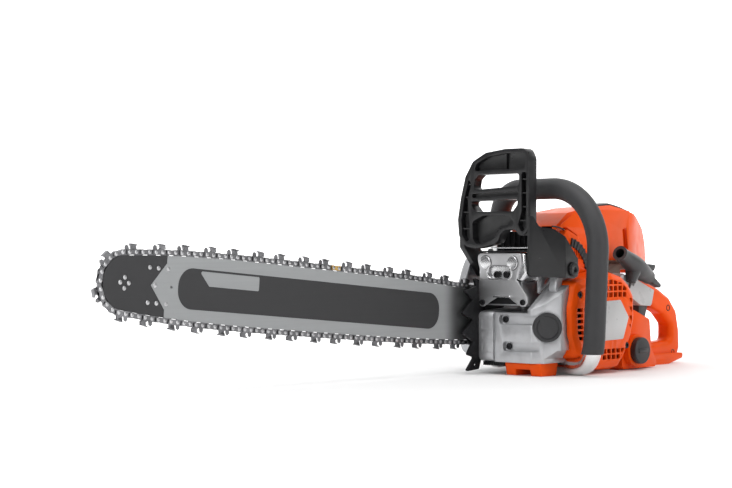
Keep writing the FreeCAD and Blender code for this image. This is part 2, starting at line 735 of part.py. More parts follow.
# ---- engine -------------------------------------------------------------------------------
def cylinder():
    barrel = rod((0, ENGINE_Y, 36.05), (0, 0, 1), 72, BORE_R + 5)
    flange = box(-33, 33, ENGINE_Y - 29, ENGINE_Y + 29, 36.05, 42)
    fins = []
    for i in range(9):
        z = 50 + 8.0 * i
        fins.append(prism([(-40, ENGINE_Y - 36), (46, ENGINE_Y - 36), (46, ENGINE_Y + 29.5),
                           (-40, ENGINE_Y + 29.5)], "z", z, z + 2.2, 14))
    exhaust = box(-58, -20, ENGINE_Y - 16, ENGINE_Y + 16, 56, 86)
    intake = box(20, 58, ENGINE_Y - 14, ENGINE_Y + 14, 48, 74)
    body = fuse([barrel, flange, exhaust, intake] + fins)
    bore = rod((0, ENGINE_Y, 30), (0, 0, 1), 74, BORE_R + 0.04)
    dome = Part.makeSphere(BORE_R - 1, vec(0, ENGINE_Y, 92)).common(
        box(-40, 40, -90, 10, 100, 112))
    ports = [box(-70, -10, ENGINE_Y - 11, ENGINE_Y + 11, 62, 80),
             box(10, 70, ENGINE_Y - 10, ENGINE_Y + 10, 53, 69)]
    plug = rod((0, ENGINE_Y, 90), (0, 0, 1), 60, 6.0)
    skirt_gap = rod((0, ENGINE_Y, 30), (0, 0, 1), 8, 31.2)
    return cut(body, [bore, dome, plug, skirt_gap] + ports)


def crankshaft():
    """Built-up crank: two webs, both shafts and the pin, at top dead centre."""
    y_right = ENGINE_Y + 6.5
    y_left = ENGINE_Y - 6.5
    webs = []
    for y0 in (y_right, y_left - WEB_THICKNESS):
        web = rod_y(0, 0, y0, y0 + WEB_THICKNESS, WEB_R)
        relief = [rod_y(22, 20, y0 - 1, y0 + WEB_THICKNESS + 1, 8),
                  rod_y(-22, 20, y0 - 1, y0 + WEB_THICKNESS + 1, 8)]
        webs.append(web.cut(relief))
    right = rod_y(0, 0, y_right + WEB_THICKNESS, 33.0, SHAFT_R)
    left = rod_y(0, 0, -128.0, y_left - WEB_THICKNESS, SHAFT_R)
    return fuse(webs + [right, left])


def crank_pin():
    return rod_y(0, CRANK_THROW, ENGINE_Y - 6.4, ENGINE_Y + 6.4, CRANK_PIN_R)


def connecting_rod():
    big = rod_y(0, CRANK_THROW, ENGINE_Y - 5.5, ENGINE_Y + 5.5, 12.0)
    top = CRANK_THROW + ROD_LENGTH
    small = rod_y(0, top, ENGINE_Y - 5.5, ENGINE_Y + 5.5, 8.5)
    beam = prism([(-5.5, CRANK_THROW + 8), (5.5, CRANK_THROW + 8), (4.2, top - 5), (-4.2, top - 5)],
                 "y", ENGINE_Y - 3.5, ENGINE_Y + 3.5)
    rod_body = fuse([big, small, beam])
    pocket = box(-2.6, 2.6, ENGINE_Y + 1.2, ENGINE_Y + 5, CRANK_THROW + 15, top - 11)
    pocket_left = shift(pocket, 0, -6.2, 0)
    bores = [rod_y(0, CRANK_THROW, -60, -30, CRANK_PIN_R), rod_y(0, top, -60, -30, WRIST_PIN_R + 0.04)]
    return cut(rod_body, bores + [pocket, pocket_left])


def piston():
    pin_z = CRANK_THROW + ROD_LENGTH
    top = pin_z + 18
    body = rod((0, ENGINE_Y, pin_z - 16), (0, 0, 1), 34, BORE_R - 0.03)
    hollow = rod((0, ENGINE_Y, pin_z - 20), (0, 0, 1), 32, BORE_R - 4)
    bosses = [rod_y(0, pin_z, ENGINE_Y - 22, ENGINE_Y - 7, 9.5),
              rod_y(0, pin_z, ENGINE_Y + 7, ENGINE_Y + 22, 9.5)]
    body = fuse([body.cut(hollow)] + [boss.common(body.fuse(hollow)) for boss in bosses])
    pin_hole = rod_y(0, pin_z, ENGINE_Y - 22.5, ENGINE_Y + 22.5, WRIST_PIN_R)
    grooves = []
    for z in (top - 5.0, top - 9.0):
        grooves.append(rod((0, ENGINE_Y, z), (0, 0, 1), 1.5, BORE_R + 2).cut(
            rod((0, ENGINE_Y, z), (0, 0, 1), 1.5, BORE_R - 2.2)))
    return cut(body, [pin_hole] + grooves)


def piston_rings():
    top = CRANK_THROW + ROD_LENGTH + 18
    rings = []
    for z in (top - 4.95, top - 8.95):
        ring = rod((0, ENGINE_Y, z), (0, 0, 1), 1.4, BORE_R - 0.02)
        rings.append(ring.cut(rod((0, ENGINE_Y, z), (0, 0, 1), 1.4, BORE_R - 2.1)))
    return group(rings)


def wrist_pin():
    pin_z = CRANK_THROW + ROD_LENGTH
    return rod_y(0, pin_z, ENGINE_Y - 22.4, ENGINE_Y + 22.4, WRIST_PIN_R)


def main_bearings():
    bearings = []
    for y0, y1 in ((ENGINE_Y + 17.2, CASE_RIGHT_Y - 1), (CASE_LEFT_Y + 1, ENGINE_Y - 17.2)):
        bearings.append(ring_y(0, 0, y0, y1, 19.95, 15.5))
        bearings.append(ring_y(0, 0, y0, y1, 11.0, SHAFT_R + 0.04))
        for i in range(8):
            angle = math.radians(45 * i)
            ball = Part.makeSphere(2.15, vec(13.25 * math.cos(angle), (y0 + y1) / 2,
                                             13.25 * math.sin(angle)))
            bearings.append(ball)
    return group(bearings)


def flywheel():
    disc = rod_y(0, 0, -98, -88, FLYWHEEL_R - 8)
    rim = ring_y(0, 0, -102, -84, FLYWHEEL_R, FLYWHEEL_R - 9)
    hub = rod_y(0, 0, -104, -82, 15)
    fins = []
    for i in range(12):
        fin = box(20, FLYWHEEL_R - 8, -108, -97, -1.2, 1.2)
        fins.append(turn(fin, 30 * i))
    body = fuse([disc, rim, hub] + fins)
    return body.cut(rod_y(0, 0, -130, -70, SHAFT_R))


def ignition_module():
    coil = box(-16, 16, -94, -80, FLYWHEEL_R + 1.0, FLYWHEEL_R + 5.5)
    legs = [box(-16, -9, -94, -82, FLYWHEEL_R + 4, FLYWHEEL_R + 16),
            box(9, 16, -94, -82, FLYWHEEL_R + 4, FLYWHEEL_R + 16)]
    case = box(-17, 17, -94.5, -80, FLYWHEEL_R + 7, FLYWHEEL_R + 20)
    coil = coil.cut(rod_y(0, 0, -110, -70, FLYWHEEL_R + 0.6))
    return fuse([coil, case] + legs)


def spark_plug():
    thread = rod((0, ENGINE_Y, 103), (0, 0, 1), 12, 5.95)
    hexagon = prism([(9 * math.cos(math.radians(60 * i)), ENGINE_Y + 9 * math.sin(
        math.radians(60 * i))) for i in range(6)], "z", 116.3, 123)
    seat = rod((0, ENGINE_Y, 114.5), (0, 0, 1), 3, 5.9)
    insulator = rod((0, ENGINE_Y, 123), (0, 0, 1), 10, 4.5)
    return fuse([thread, seat, hexagon, insulator])


def plug_boot():
    boot = fuse([rod((0, ENGINE_Y, 124), (0, 0, 1), 18, 9),
                 rod((0, ENGINE_Y, 134.5), (0, -1, 0), 24, 6)])
    boot = boot.cut(rod((0, ENGINE_Y, 122), (0, 0, 1), 12, 4.6))
    path = Part.BSplineCurve()
    path.interpolate([vec(0, ENGINE_Y - 22, 134.5), vec(0, ENGINE_Y - 34, 132.5),
                      vec(0, -85, 118), vec(0, -91, 93), vec(0, -90, 74)])
    wire = Part.Wire([path.toShape()])
    section = Part.Wire([Part.makeCircle(3.0, vec(0, ENGINE_Y - 22, 134.5), vec(0, -1, 0))])
    return fuse([boot, wire.makePipeShell([section], True, True)])


def muffler():
    """Front-facing silencer with a tapered lower part and the outlet below."""
    front = -113.0
    upper = [(-13, 92.6), (-90, 93), (-93, 64), (-84, 54), (-22, 54), (-11, 62)]
    body = loft([(-60, upper), (front + 8, upper)], "x", 9)
    nose = loft([(front + 8, upper), (front, [(-16, 90.6), (-87, 91), (-89, 66), (-80, 57),
                                             (-26, 57), (-15, 64)])], "x", 8)
    lower = loft([(-60, [(-20, 56), (-82, 56), (-92, 22), (-14, 22)]),
                  (front + 3, [(-22, 58), (-80, 58), (-90, 24), (-16, 24)])], "x", 5)
    outlet = prism([(-30, 30), (-74, 30), (-84, 18), (-22, 18)], "x", front - 2, -70, 2)
    outlet_bore = prism([(-34, 28), (-70, 28), (-78, 20), (-28, 20)], "x", front - 4, -80, 2)
    bumps = [Part.makeSphere(8, vec(front + 5, -24, 82)), Part.makeSphere(8, vec(front + 5, -81, 83))]
    recess = prism([(-36, 70), (-70, 70), (-70, 58), (-36, 58)], "x", front - 4, front + 2.5, 5.4)
    flange = box(-60, -58.05, ENGINE_Y - 20, ENGINE_Y + 20, 52, 90)
    port = box(-66, -50, ENGINE_Y - 11, ENGINE_Y + 11, 62, 80)
    body = fuse([body, nose, lower, outlet, flange] + bumps)
    upper_chamber = prism([(-15, 91), (-88, 93), (-90, 66), (-81, 56), (-24, 56), (-13, 64)],
                          "x", front + 6, -62.5, 6)
    lower_chamber = prism([(-26, 60), (-76, 60), (-84, 34), (-21, 34)], "x", front + 6, -63, 4)
    return cut(body, [outlet_bore, recess, port, upper_chamber, lower_chamber])


def muffler_screws():
    front = -113.0
    screws = []
    places = [(-45, 64, front + 2.5), (-61, 64, front + 2.5)]
    for y, z, x in places:
        head = rod((x - EPS, y, z), (-1, 0, 0), 4.0, 4.4)
        key = rod((x - 2, y, z), (-1, 0, 0), 4, 2.4)
        screws.append(head.cut(key))
    for y, z in ((-19.5, 27), (-87, 28)):
        head = rod((front + 3 - EPS, y, z), (-1, 0, 0), 3.2, 3.8)
        key = rod((front + 1.4, y, z), (-1, 0, 0), 3, 2.0)
        screws.append(head.cut(key))
    return group(screws)


def heat_shield():
    """Bright bracket beside the muffler, between it and the guard arm."""
    plate = prism([(-95, 100), (-62, 100), (-62, 60), (-95, 36.5)], "y", -99.0, -97.4, 3)
    lip = box(-95, -62, -97.4, -20, 98.4, 100)
    return fuse([plate, lip])


def carburettor():
    body = box(64, 96, ENGINE_Y - 18, ENGINE_Y + 18, 44, 78)
    throat = rod((50, ENGINE_Y, 61), (1, 0, 0), 60, 9.0)
    flange = box(60, 64, ENGINE_Y - 24, ENGINE_Y + 24, 46, 76)
    pump = box(68, 92, ENGINE_Y - 14, ENGINE_Y + 14, 78, 83)
    bowl = box(68, 92, ENGINE_Y - 14, ENGINE_Y + 14, 39, 44)
    shaft_hole = rod_y(86, 61, ENGINE_Y - 30, ENGINE_Y + 30, 2.06)
    return cut(fuse([body, flange, pump, bowl]), [throat, shaft_hole])


def throttle_plate():
    shaft = rod_y(86, 61, ENGINE_Y - 24, ENGINE_Y + 20, 2.0)
    plate = rod((85.4, ENGINE_Y, 61), (1, 0, 0), 1.2, 8.6)
    lever = box(84, 88, ENGINE_Y - 26, ENGINE_Y - 23, 49, 63)
    return fuse([shaft, plate, lever])


def intake_boot():
    outside = rod((58.05, ENGINE_Y, 61), (1, 0, 0), 1.9, 16)
    outside = outside.cut(rod((50, ENGINE_Y, 61), (1, 0, 0), 20, 9.0))
    collar = rod((46, ENGINE_Y, 61), (1, 0, 0), 12, 20).cut(
        box(40, 70, ENGINE_Y - 14.05, ENGINE_Y + 14.05, 47.95, 74.05))
    return group([outside, collar])


def filter_plan(inset):
    y0 = ENGINE_Y - 27 + inset
    y1 = ENGINE_Y + 24 - inset
    return [(100 + inset, y0), (160 - inset, y0 + 4), (160 - inset, y1 - 4), (100 + inset, y1)]


def air_filter():
    """Pleated block: a core with a stack of ribs around it, on a flat base."""
    core = prism(filter_plan(2.5), "z", 68.0, 119.0, 8)
    ribs = [prism(filter_plan(0), "z", 74.0 + 6 * i, 77.2 + 6 * i, 10) for i in range(7)]
    base = prism([(96.05, ENGINE_Y - 16), (150, ENGINE_Y - 16), (150, ENGINE_Y + 22),
                  (96.05, ENGINE_Y + 22)], "z", 50.0, 70.0, 6)
    throat = rod((90, ENGINE_Y, 61), (1, 0, 0), 40, 8.9)
    return fuse([core, base] + ribs).cut(throat)


# ---- top cover ----------------------------------------------------------------------------
def top_profile():
    return [(-56, 98), (-59, 112), (-50, 128), (-17, 146), (26, 153.5), (90, 158), (116, 153),
            (156, 141), (190, 126), (206, 106), (212, 84), (212, 62), (150, 64), (96, 82),
            (48, 82), (20, 86), (4, 99), (-12, 117), (-36, 127), (-52, 124)]


def top_flanks(gap):
    """Everything outside the hood's slanted sides, moved in by gap."""
    left = [(-101, 205), (-99, 96), (-96, 122), (-88, 148), (-74, 170), (-74, 205)]
    left = [(y + gap, z - gap) for y, z in left]
    right = [(60, 205), (60, 50), (12, 50), (10, 108), (-4, 128), (-36, 154), (-44, 175),
             (-44, 205)]
    right = [(y - gap, z - gap) for y, z in right]
    return [prism(left, "x", -90, 240), prism(right, "x", -90, 240),
            prism([(110, -130), (110, -100 + gap), (212 - gap, -58 + gap), (240, -50), (240, -130)],
                  "z", 40, 200),
            prism([(150, 40), (150, 14 - gap), (212 - gap, -12 - gap), (240, -20), (240, 40)],
                  "z", 40, 200)]


def top_cover():
    """Orange hood over cylinder and filter, wider below than on its ridge."""
    body = cut(prism(top_profile(), "y", -100, 12, 5), top_flanks(0))
    hollow_points = [(-54, 80), (-54, 126), (-17, 141.5), (26, 149), (88, 153.5), (114, 148.8),
                     (153, 137), (186, 123), (201, 105), (207, 83), (207, 40), (-30, 40)]
    hollow = prism(hollow_points, "y", -95.5, 8, 4)
    recess = prism([(94, 124), (104, 128), (108, 96), (98, 92)], "y", -102, -94, 2)
    return cut(body, [cut(hollow, top_flanks(4.5)), recess])


def top_trim():
    """Dark strip along the rear ridge of the top cover."""
    upper = [(52, 156.4), (90, 160.2), (117, 155.2), (157, 143.2), (191.5, 128), (208, 107)]
    lower = [(206.1, 106.2), (190.1, 126.2), (156.1, 141.2), (116.1, 153.2), (90, 158.15),
             (52, 155.5)]
    strip = prism(upper + lower, "y", -74, -46)
    keep = prism([(30, -73), (110, -73), (212, -52), (212, -30), (110, -46), (30, -46)],
                 "z", 40, 200)
    return strip.common(keep)


def cylinder_panel():
    """Lower orange shell on the left, under the seam of the top cover."""
    points = [(-58, 92), (-40, 124), (-14, 114), (2, 95), (18, 81), (40, 77), (40, 62),
              (-40, 62), (-52, 78)]
    plate = prism(points, "y", -104, -95.1, 4)
    hollow = prism([(-54, 88), (-38, 118), (-16, 109), (-2, 92), (14, 77), (36, 73), (36, 66),
                    (-38, 66), (-48, 78)], "y", -101, -90, 3)
    vents = [box(-22 + 3.6 * i, -20 + 3.6 * i, -106, -90, 84, 104) for i in range(5)]
    return cut(plate, [hollow] + vents)


def louvre():
    ribs = []
    for i in range(9):
        angle = math.radians(8 + 9 * i)
        x = -38 + 46 * math.cos(angle)
        z = 61 + 46 * math.sin(angle)
        rib = turn(box(-6, 6, -106.5, -104.05, -1.1, 1.1), -math.degrees(angle))
        ribs.append(shift(rib, x, 0, z))
    back = ring_y(-38, 61, -105.2, -104.05, 51.5, 41.0)
    wedge = prism([(-38, 70.2), (60, 70.2), (60, 135), (-20, 159)], "y", -110, -100)
    return fuse([back.common(wedge)] + [rib.common(wedge) for rib in ribs])


# ---- starter ------------------------------------------------------------------------------
def starter_profile(grow):
    points = [(-66, 54), (-76, 22), (-75, -14), (-62, -42), (-20, -62), (28, -60), (42, -47),
              (58, -22), (66, 4), (65, 34), (54, 49), (38, 60), (12, 66), (-46, 58)]
    return grow_outline(points, (0.0, 0.0), grow)


def starter_cover():
    """Domed recoil housing with cooling slots all around the centre plate."""
    back_y = -106.0
    body = loft([(back_y, starter_profile(3)), (-130.0, starter_profile(2)),
                 (STARTER_FACE_Y + 4, starter_profile(-1)), (STARTER_FACE_Y, starter_profile(-8))],
                "y", 9)
    hollow = loft([(back_y + 5, starter_profile(-0.5)), (-129.0, starter_profile(-1.5)),
                   (STARTER_FACE_Y + 3.5, starter_profile(-9))], "y", 7)
    clear = [prism([(-140, 90), (-70, 90), (-70, -90), (-140, -90)], "y", -132, -90),
             box(-60, 60, -140, -104, -80, -61)]
    slots = []
    for row in range(6):
        for column in range(2):
            z = 18 - 7.4 * row
            x = -70 + 18 * column + 0.5 * row
            slots.append(box(x, x + 14.5, -160, -126, z - 2.4, z + 2.4))
    for row in range(3):
        for column in range(6):
            slots.append(box(-17 + 10.5 * column, -9 + 10.5 * column, -160, -120,
                             33.5 + 8.6 * row, 40 + 8.6 * row))
    for row in range(2):
        for column in range(5):
            slots.append(box(-11 + 10.5 * column, -3 + 10.5 * column, -160, -120,
                             -49 + 8 * row, -43 + 8 * row))
    for i in range(6):
        z = 32 - 12 * i
        slots.append(prism([(50, z), (60 - abs(i - 2), z), (55, z - 8)], "y", -160, -120))
    slots = [slot.common(prism(starter_profile(-9), "y", -170, -110)) for slot in slots]
    hub = rod_y(0, 0, STARTER_FACE_Y + 3, -129.0, 8.0).cut(rod_y(0, 0, -160, -100, 4.0))
    rope_exit = rod(GRIP_CENTRE, tuple(-c for c in GRIP_PULL), 60, 5.0)
    screw_wells = [rod_y(x, z, -170, STARTER_FACE_Y + 4, 5.0) for x, z in starter_screw_places()]
    tube_room = sweep(front_handle_points(), TUBE_R + 0.4)
    return cut(fuse([body.cut(hollow), hub]), clear + slots + screw_wells + [rope_exit, tube_room])


def starter_screw_places():
    return [(-60, 38), (-48, -34), (46, -32), (-24, 50)]


def starter_screws():
    return group([starter_screw(x, z) for x, z in starter_screw_places()])


def starter_screw(x, z):
    head = rod_y(x, z, STARTER_FACE_Y + 0.5, STARTER_FACE_Y + 4 - EPS, 4.2)
    return head.cut(rod_y(x, z, STARTER_FACE_Y - 1, STARTER_FACE_Y + 2.6, 2.2))


def starter_plate():
    """Plain six-sided plate in the middle of the recoil housing."""
    points = [(-18, 28), (28, 29.5), (47, 6), (34, -23), (-18, -24), (-30, 1)]
    return prism(points, "y", STARTER_FACE_Y - 1.6, STARTER_FACE_Y - EPS, 3)


def starter_pulley():
    drum = rod_y(0, 0, -124.5, -115.5, PULLEY_R - 6)
    flanges = [rod_y(0, 0, -115.5, -113.5, PULLEY_R), rod_y(0, 0, -126.5, -124.5, PULLEY_R)]
    body = fuse([drum] + flanges)
    return body.cut(rod_y(0, 0, -130, -110, SHAFT_R + 0.06))


def rope_coil():
    turns = []
    for level in range(2):
        for lane in range(2):
            radius = PULLEY_R - 6 + 2.1 + 3.2 * level
            turns.append(Part.makeTorus(radius - 0.4, 1.6, vec(0, -122.4 + 4.6 * lane, 0),
                                        vec(0, 1, 0)))
    return group(turns)


def starter_grip():
    """T-shaped pull handle, hollow at its near end."""
    along_grip = vec(*GRIP_ALONG).normalize()
    pull = vec(*GRIP_PULL).normalize()
    centre = vec(*GRIP_CENTRE)
    half = 47.0
    stations = ((-half, 10.5), (-half * 0.5, 11.5), (0, 13.5), (half * 0.5, 12.5), (half, 10.0))
    wires = []
    for distance, radius in stations:
        middle = centre + along_grip * distance
        wires.append(Part.Wire([Part.makeCircle(radius, middle, along_grip)]))
    handle = Part.makeLoft(wires, True, False)
    neck = Part.makeCone(13.0, 7.0, 24.0, centre, pull * -1)
    rope_hole = Part.makeCylinder(2.3, 40, centre + pull * 2, pull * -1)
    pocket = Part.makeCylinder(6.5, 22, centre - along_grip * (half + 1), along_grip)
    return fuse([handle, neck]).cut([rope_hole, pocket])


def rope_lead():
    """Short end of rope between the grip and the housing."""
    pull = vec(*GRIP_PULL).normalize()
    centre = vec(*GRIP_CENTRE)
    return Part.makeCylinder(1.8, 33.0, centre, pull * -1)


# ---- handles ------------------------------------------------------------------------------
def tank_and_handle():
    """Fuel tank with the rear handle loop and the foot plate in one moulding."""
    outer = [(64, -64), (64, 8), (96, 26), (120, 50), (150, 55), (180, 49), (206, 40),
             (232, 27), (250, 8), (257, -20), (258, -46), (252, -58), (214, -66)]
    handle = prism(outer, "y", -88, -62, 10)
    window = [(140, 20), (186, 16), (214, 4), (233, -12), (233, -34), (140, -38)]
    window_cut = prism(window, "y", -110, -40, 8)
    handle = handle.cut(window_cut)
    handle = round_edges(handle, 8.0, handle_edge)
    tank = prism([(62, -66), (62, 6), (90, 14), (128, 0), (132, -40), (150, -66)], "y",
                 -122, 14, 6)
    boss = rod_y(FUEL_CAP[0], FUEL_CAP[2], FUEL_CAP[1] + 3, -118, 22)
    foot = prism([(140, GROUND_Z), (220, GROUND_Z), (256, -60), (257, -53), (140, -50)], "y",
                 -92, -16, 3)
    belly = prism([(-20, -66), (66, -66), (66, -62), (-20, -62)], "y", -104, 14)
    pads = [box(70, 120, y, y + 14, GROUND_Z, -65) for y in (-110, -8)]
    body = fuse([handle, tank, boss, foot, belly] + pads)
    inside = prism([(68, -60), (68, 2), (90, 8), (122, -4), (126, -40), (140, -60)], "y",
                   -116, 8, 5)
    trigger_slot = prism([(140, 60), (192, 60), (192, 10), (140, 10)], "y", -81, -69)
    filler = rod_y(FUEL_CAP[0], FUEL_CAP[2], FUEL_CAP[1] - 10, -108, 14.0)
    pivots = [rod_y(TRIGGER_PIVOT[0], TRIGGER_PIVOT[1], -85, -65, 2.04),
              rod_y(LOCKOUT_PIVOT[0], LOCKOUT_PIVOT[1], -85, -65, 2.04)]
    beside_starter = prism(starter_profile(3.4), "y", -160, -100.5)
    return cut(body, [inside, trigger_slot, filler, window_cut, beside_starter] + pivots)


def handle_edge(point):
    side = abs(point.y + 88) < 0.1 or abs(point.y + 62) < 0.1
    return side and point.x > 134 and point.z > -50


def bridge_block():
    """Light-grey block that carries the rope guide between starter and rear handle."""
    points = [(60, 62), (84, 64), (124, 50), (146, 42), (138, 18), (112, 20), (88, 32),
              (70, 46)]
    block = prism(points, "y", -118, -92, 5)
    back = tuple(-c for c in GRIP_PULL)
    rope = rod(GRIP_CENTRE, back, 80, 3.2)
    neck_room = rod(GRIP_CENTRE, back, 26, 14.0)
    start = tuple(c - 66 * d for c, d in zip(GRIP_CENTRE, GRIP_ALONG))
    grip_room = rod(start, GRIP_ALONG, 132, 14.6)
    return cut(block, [rope, neck_room, grip_room])


def throttle_trigger():
    points = [(163, 31), (181, 29), (184, 16), (176, -4), (160, -24), (152, -22), (160, -4),
              (163, 14)]
    blade = prism(points, "y", -80.5, -69.5, 3)
    pivot = rod_y(TRIGGER_PIVOT[0], TRIGGER_PIVOT[1], -84.0, -66.0, 2.0)
    return fuse([blade, pivot])


def throttle_lockout():
    """Pivoted paddle on top of the handle, its tongue reaching into the trigger slot."""
    paddle = prism([(158, 56), (186, 52), (212, 41), (216, 45), (198, 57), (172, 63), (156, 62)],
                   "y", -83, -67, 3)
    tongue = prism([(160, 42), (172, 42), (176, 60), (158, 60)], "y", -80.5, -69.5, 3)
    pivot = rod_y(LOCKOUT_PIVOT[0], LOCKOUT_PIVOT[1], -84.0, -66.0, 2.0)
    return fuse([paddle, tongue, pivot])


def front_handle_points():
    return [(-42, -76.05, -56), (-56, -148, -56), (-74, -173, -36), (-56, -171, 178),
            (-30, 8, 178), (-16, 33, 120), (-2, 34, 84)]


def handle_path(points):
    """Polyline with every inner corner rounded as far as its sides allow, up to 100 mm."""
    radius = 100.0
    edges = []
    start = vec(*points[0])
    for i in range(1, len(points) - 1):
        here = vec(*points[i])
        before = vec(*points[i - 1]) - here
        after = vec(*points[i + 1]) - here
        half = before.getAngle(after) / 2
        trim = min(radius / math.tan(half), before.Length * 0.48, after.Length * 0.48)
        a = here + before.normalize() * trim
        b = here + after.normalize() * trim
        bend = trim * math.tan(half)
        toward = ((a + b) * 0.5 - here).normalize()
        middle = here + toward * (bend / math.sin(half) - bend)
        if (a - start).Length > 1e-6:
            edges.append(Part.makeLine(start, a))
        edges.append(Part.Arc(a, middle, b).toShape())
        start = b
    edges.append(Part.makeLine(start, vec(*points[-1])))
    return Part.Wire(edges)


def sweep(points, radius):
    path = handle_path(points)
    direction = vec(*points[1]) - vec(*points[0])
    circle = Part.Wire([Part.makeCircle(radius, vec(*points[0]), direction)])
    return path.makePipeShell([circle], True, True)


def front_handle():
    return sweep(front_handle_points(), TUBE_R)


def handle_sleeve():
    """Rubber sleeve over the tube from just above the lower bend to the right side."""
    covered = cut(box(-200, 100, -250, 80, -38, 240), [box(-200, 100, 0, 80, -60, 133)])
    sleeve = sweep(front_handle_points(), SLEEVE_R).common(covered)
    return sleeve.cut(front_handle())


def handle_mounts():
    """Clamps that hold the tube, below at the left and on the right side."""
    low = prism([(-62, -66), (-30, -66), (-30, -61.1), (-62, -61.1)], "y", -84, -60, 1)
    right = prism([(-18, 68), (16, 68), (16, 98), (-18, 98)], "y", 13.1, 48, 4)
    tube = front_handle()
    return group([low.cut(tube), right.cut(tube)])


def av_springs():
    """Coil springs between crankcase and tank."""
    springs = []
    for x, y, z in ((61.5, -86, -45), (61.5, 4, -20)):
        helix = Part.makeHelix(4.0, 16.0, 7.0)
        circle = Part.Wire([Part.makeCircle(1.3, vec(7.0, 0, 0), vec(0, 1, 0))])
        coil = Part.Wire(helix).makePipeShell([circle], True, True)
        coil.rotate(vec(0, 0, 0), vec(0, 1, 0), 90)
        springs.append(shift(coil, x - 18, y, z))
    return group(springs)


# ---- hand guard ---------------------------------------------------------------------------
def guard_frame():
    """Panel with two windows, a border channel crossed by thin ribs and a lower bowl."""
    front = -113.0
    outer = [(-98, 124), (-98.5, 216), (-92, 229), (-59, 229), (-26, 225), (-4, 214),
             (9, 194), (17, 165), (22, 137), (20, 114), (8, 101), (-8, 98), (-22, 100), (-46, 106),
             (-51, 118), (-58, 123), (-74, 124), (-86, 112)]
    frame = prism(outer, "x", front, GUARD_BACK, 12)
    upper_window = [(-82, 197), (-82, 180), (-4, 176), (-7, 190), (-14, 196)]
    lower_window = [(-80, 163), (-79, 155), (-72, 147), (-9, 147), (-1, 156), (-2, 161)]
    panel = [(-92, 223), (-60, 223.5), (-28, 219.5), (-10, 211), (-6, 201), (-92, 203)]
    bowl = [(-3, 134), (-21, 142), (-64, 142), (-73, 133), (-70, 130), (-52, 128), (-45, 121),
            (-41, 111), (-20, 105), (-10, 104), (-4, 110)]
    left_channel = [(-94, 198), (-86, 198), (-86, 146), (-80, 130), (-86, 119), (-94, 126)]
    right_channel = [(3, 192), (11, 165), (16, 137), (14.5, 116), (7, 106), (1, 112), (2, 134),
                     (5, 164), (-1, 184)]
    bar_groove = [(-80, 174), (-80, 168.5), (-3, 165.5), (-3, 171)]
    frame = cut(frame, [prism(upper_window, "x", -130, -90, 5),
                        prism(lower_window, "x", -130, -90, 5)])
    pockets = [prism(panel, "x", -130, front + 9, 5), prism(bowl, "x", -130, front + 12, 6),
               prism(left_channel, "x", -130, front + 9, 3),
               prism(right_channel, "x", -130, front + 9, 3),
               prism(bar_groove, "x", -130, front + 7, 1.5)]
    ribs = [box(front + 2.5, front + 11, -96, -80, z, z + 1.8) for z in (134, 152, 170, 188)]
    ribs += [box(front + 2.5, front + 11, 0, 18, z, z + 1.8) for z in (124, 146, 166, 183)]
    ribs += [box(front + 4, front + 11, -58, -56.4, 200, 226)]
    inside = prism(outer, "x", front, GUARD_BACK, 12)
    open_windows = [prism(upper_window, "x", -130, -90, 5), prism(lower_window, "x", -130, -90, 5)]
    ribs = [cut(rib.common(inside), open_windows) for rib in ribs]
    return fuse([cut(frame, pockets)] + ribs)


def hand_guard():
    """Front hand guard: the frame, a slanted left arm out to its pivot and a right arm."""
    front = -113.0
    side = [(front, 150), (-104, 126), (-92, 124), (-52, 82), (-54, 62), (-66, 59.2),
            (front, 62)]
    plan = [(front, -98.5), (-107, -105), (-82, -134), (-54, -134), (-54, -125), (-79, -125),
            (-98, -103), (-98, -95.3), (front, -95.3)]
    arm = prism(side, "y", -136, -95.3, 5).common(prism(plan, "z", 40, 160, 1))
    knuckle = rod_y(GUARD_PIVOT[0], GUARD_PIVOT[1], -134, -119.1, 12)
    right = [(front + 4, 124), (GUARD_BACK, 124), (-54, 74), (-58, 60), (-72, 60),
             (front + 4, 100)]
    right_arm = prism(right, "y", 14, 22, 4)
    pins = [rod_y(GUARD_PIVOT[0], GUARD_PIVOT[1], -122, -107.9, 4.95),
            rod_y(GUARD_PIVOT[0], GUARD_PIVOT[1], 20, 38.0, 4.95)]
    clear = prism([(-94, 30), (-40, 30), (-40, 100), (-94, 92)], "y", -119.1, -100.0)
    guard = fuse([guard_frame(), arm, knuckle, right_arm])
    return fuse([guard.cut(clear)] + pins)


def guard_cap():
    cap = rod_y(GUARD_PIVOT[0], GUARD_PIVOT[1], -137.5, -134.05, 9.5)
    cap = round_edges(cap, 1.5, lambda point: point.y < -137.4)
    return cap.cut(rod_y(GUARD_PIVOT[0], GUARD_PIVOT[1], -140, -136, 3.2))


# ---- caps and small controls --------------------------------------------------------------
def fuel_cap():
    x, y, z = FUEL_CAP
    disc = rod_y(x, z, y - 6, y + 2.9, 18.0)
    plug = rod_y(x, z, y + 2.9, -110, 13.95)
    disc = round_edges(disc, 1.6, lambda point: point.y < y - 5.9)
    tab = box(x - 11, x + 11, y - 7.5, y - 5.9, z - 3, z + 3)
    return fuse([disc, plug, tab])


def oil_cap():
    disc = oil_cap_axis_rod(3.2, 9.0, 19.0)
    plug = oil_cap_axis_rod(-8.0, 3.4, 13.95)
    groove = oil_cap_axis_rod(8.0, 12.0, 15.0).cut(oil_cap_axis_rod(7.0, 13.0, 13.2))
    groove = groove.cut(box(OIL_CAP[0] - 30, OIL_CAP[0] - 4, OIL_CAP[1] - 30, OIL_CAP[1],
                            OIL_CAP[2] - 6, OIL_CAP[2] + 14))
    return fuse([disc, plug]).cut(groove)


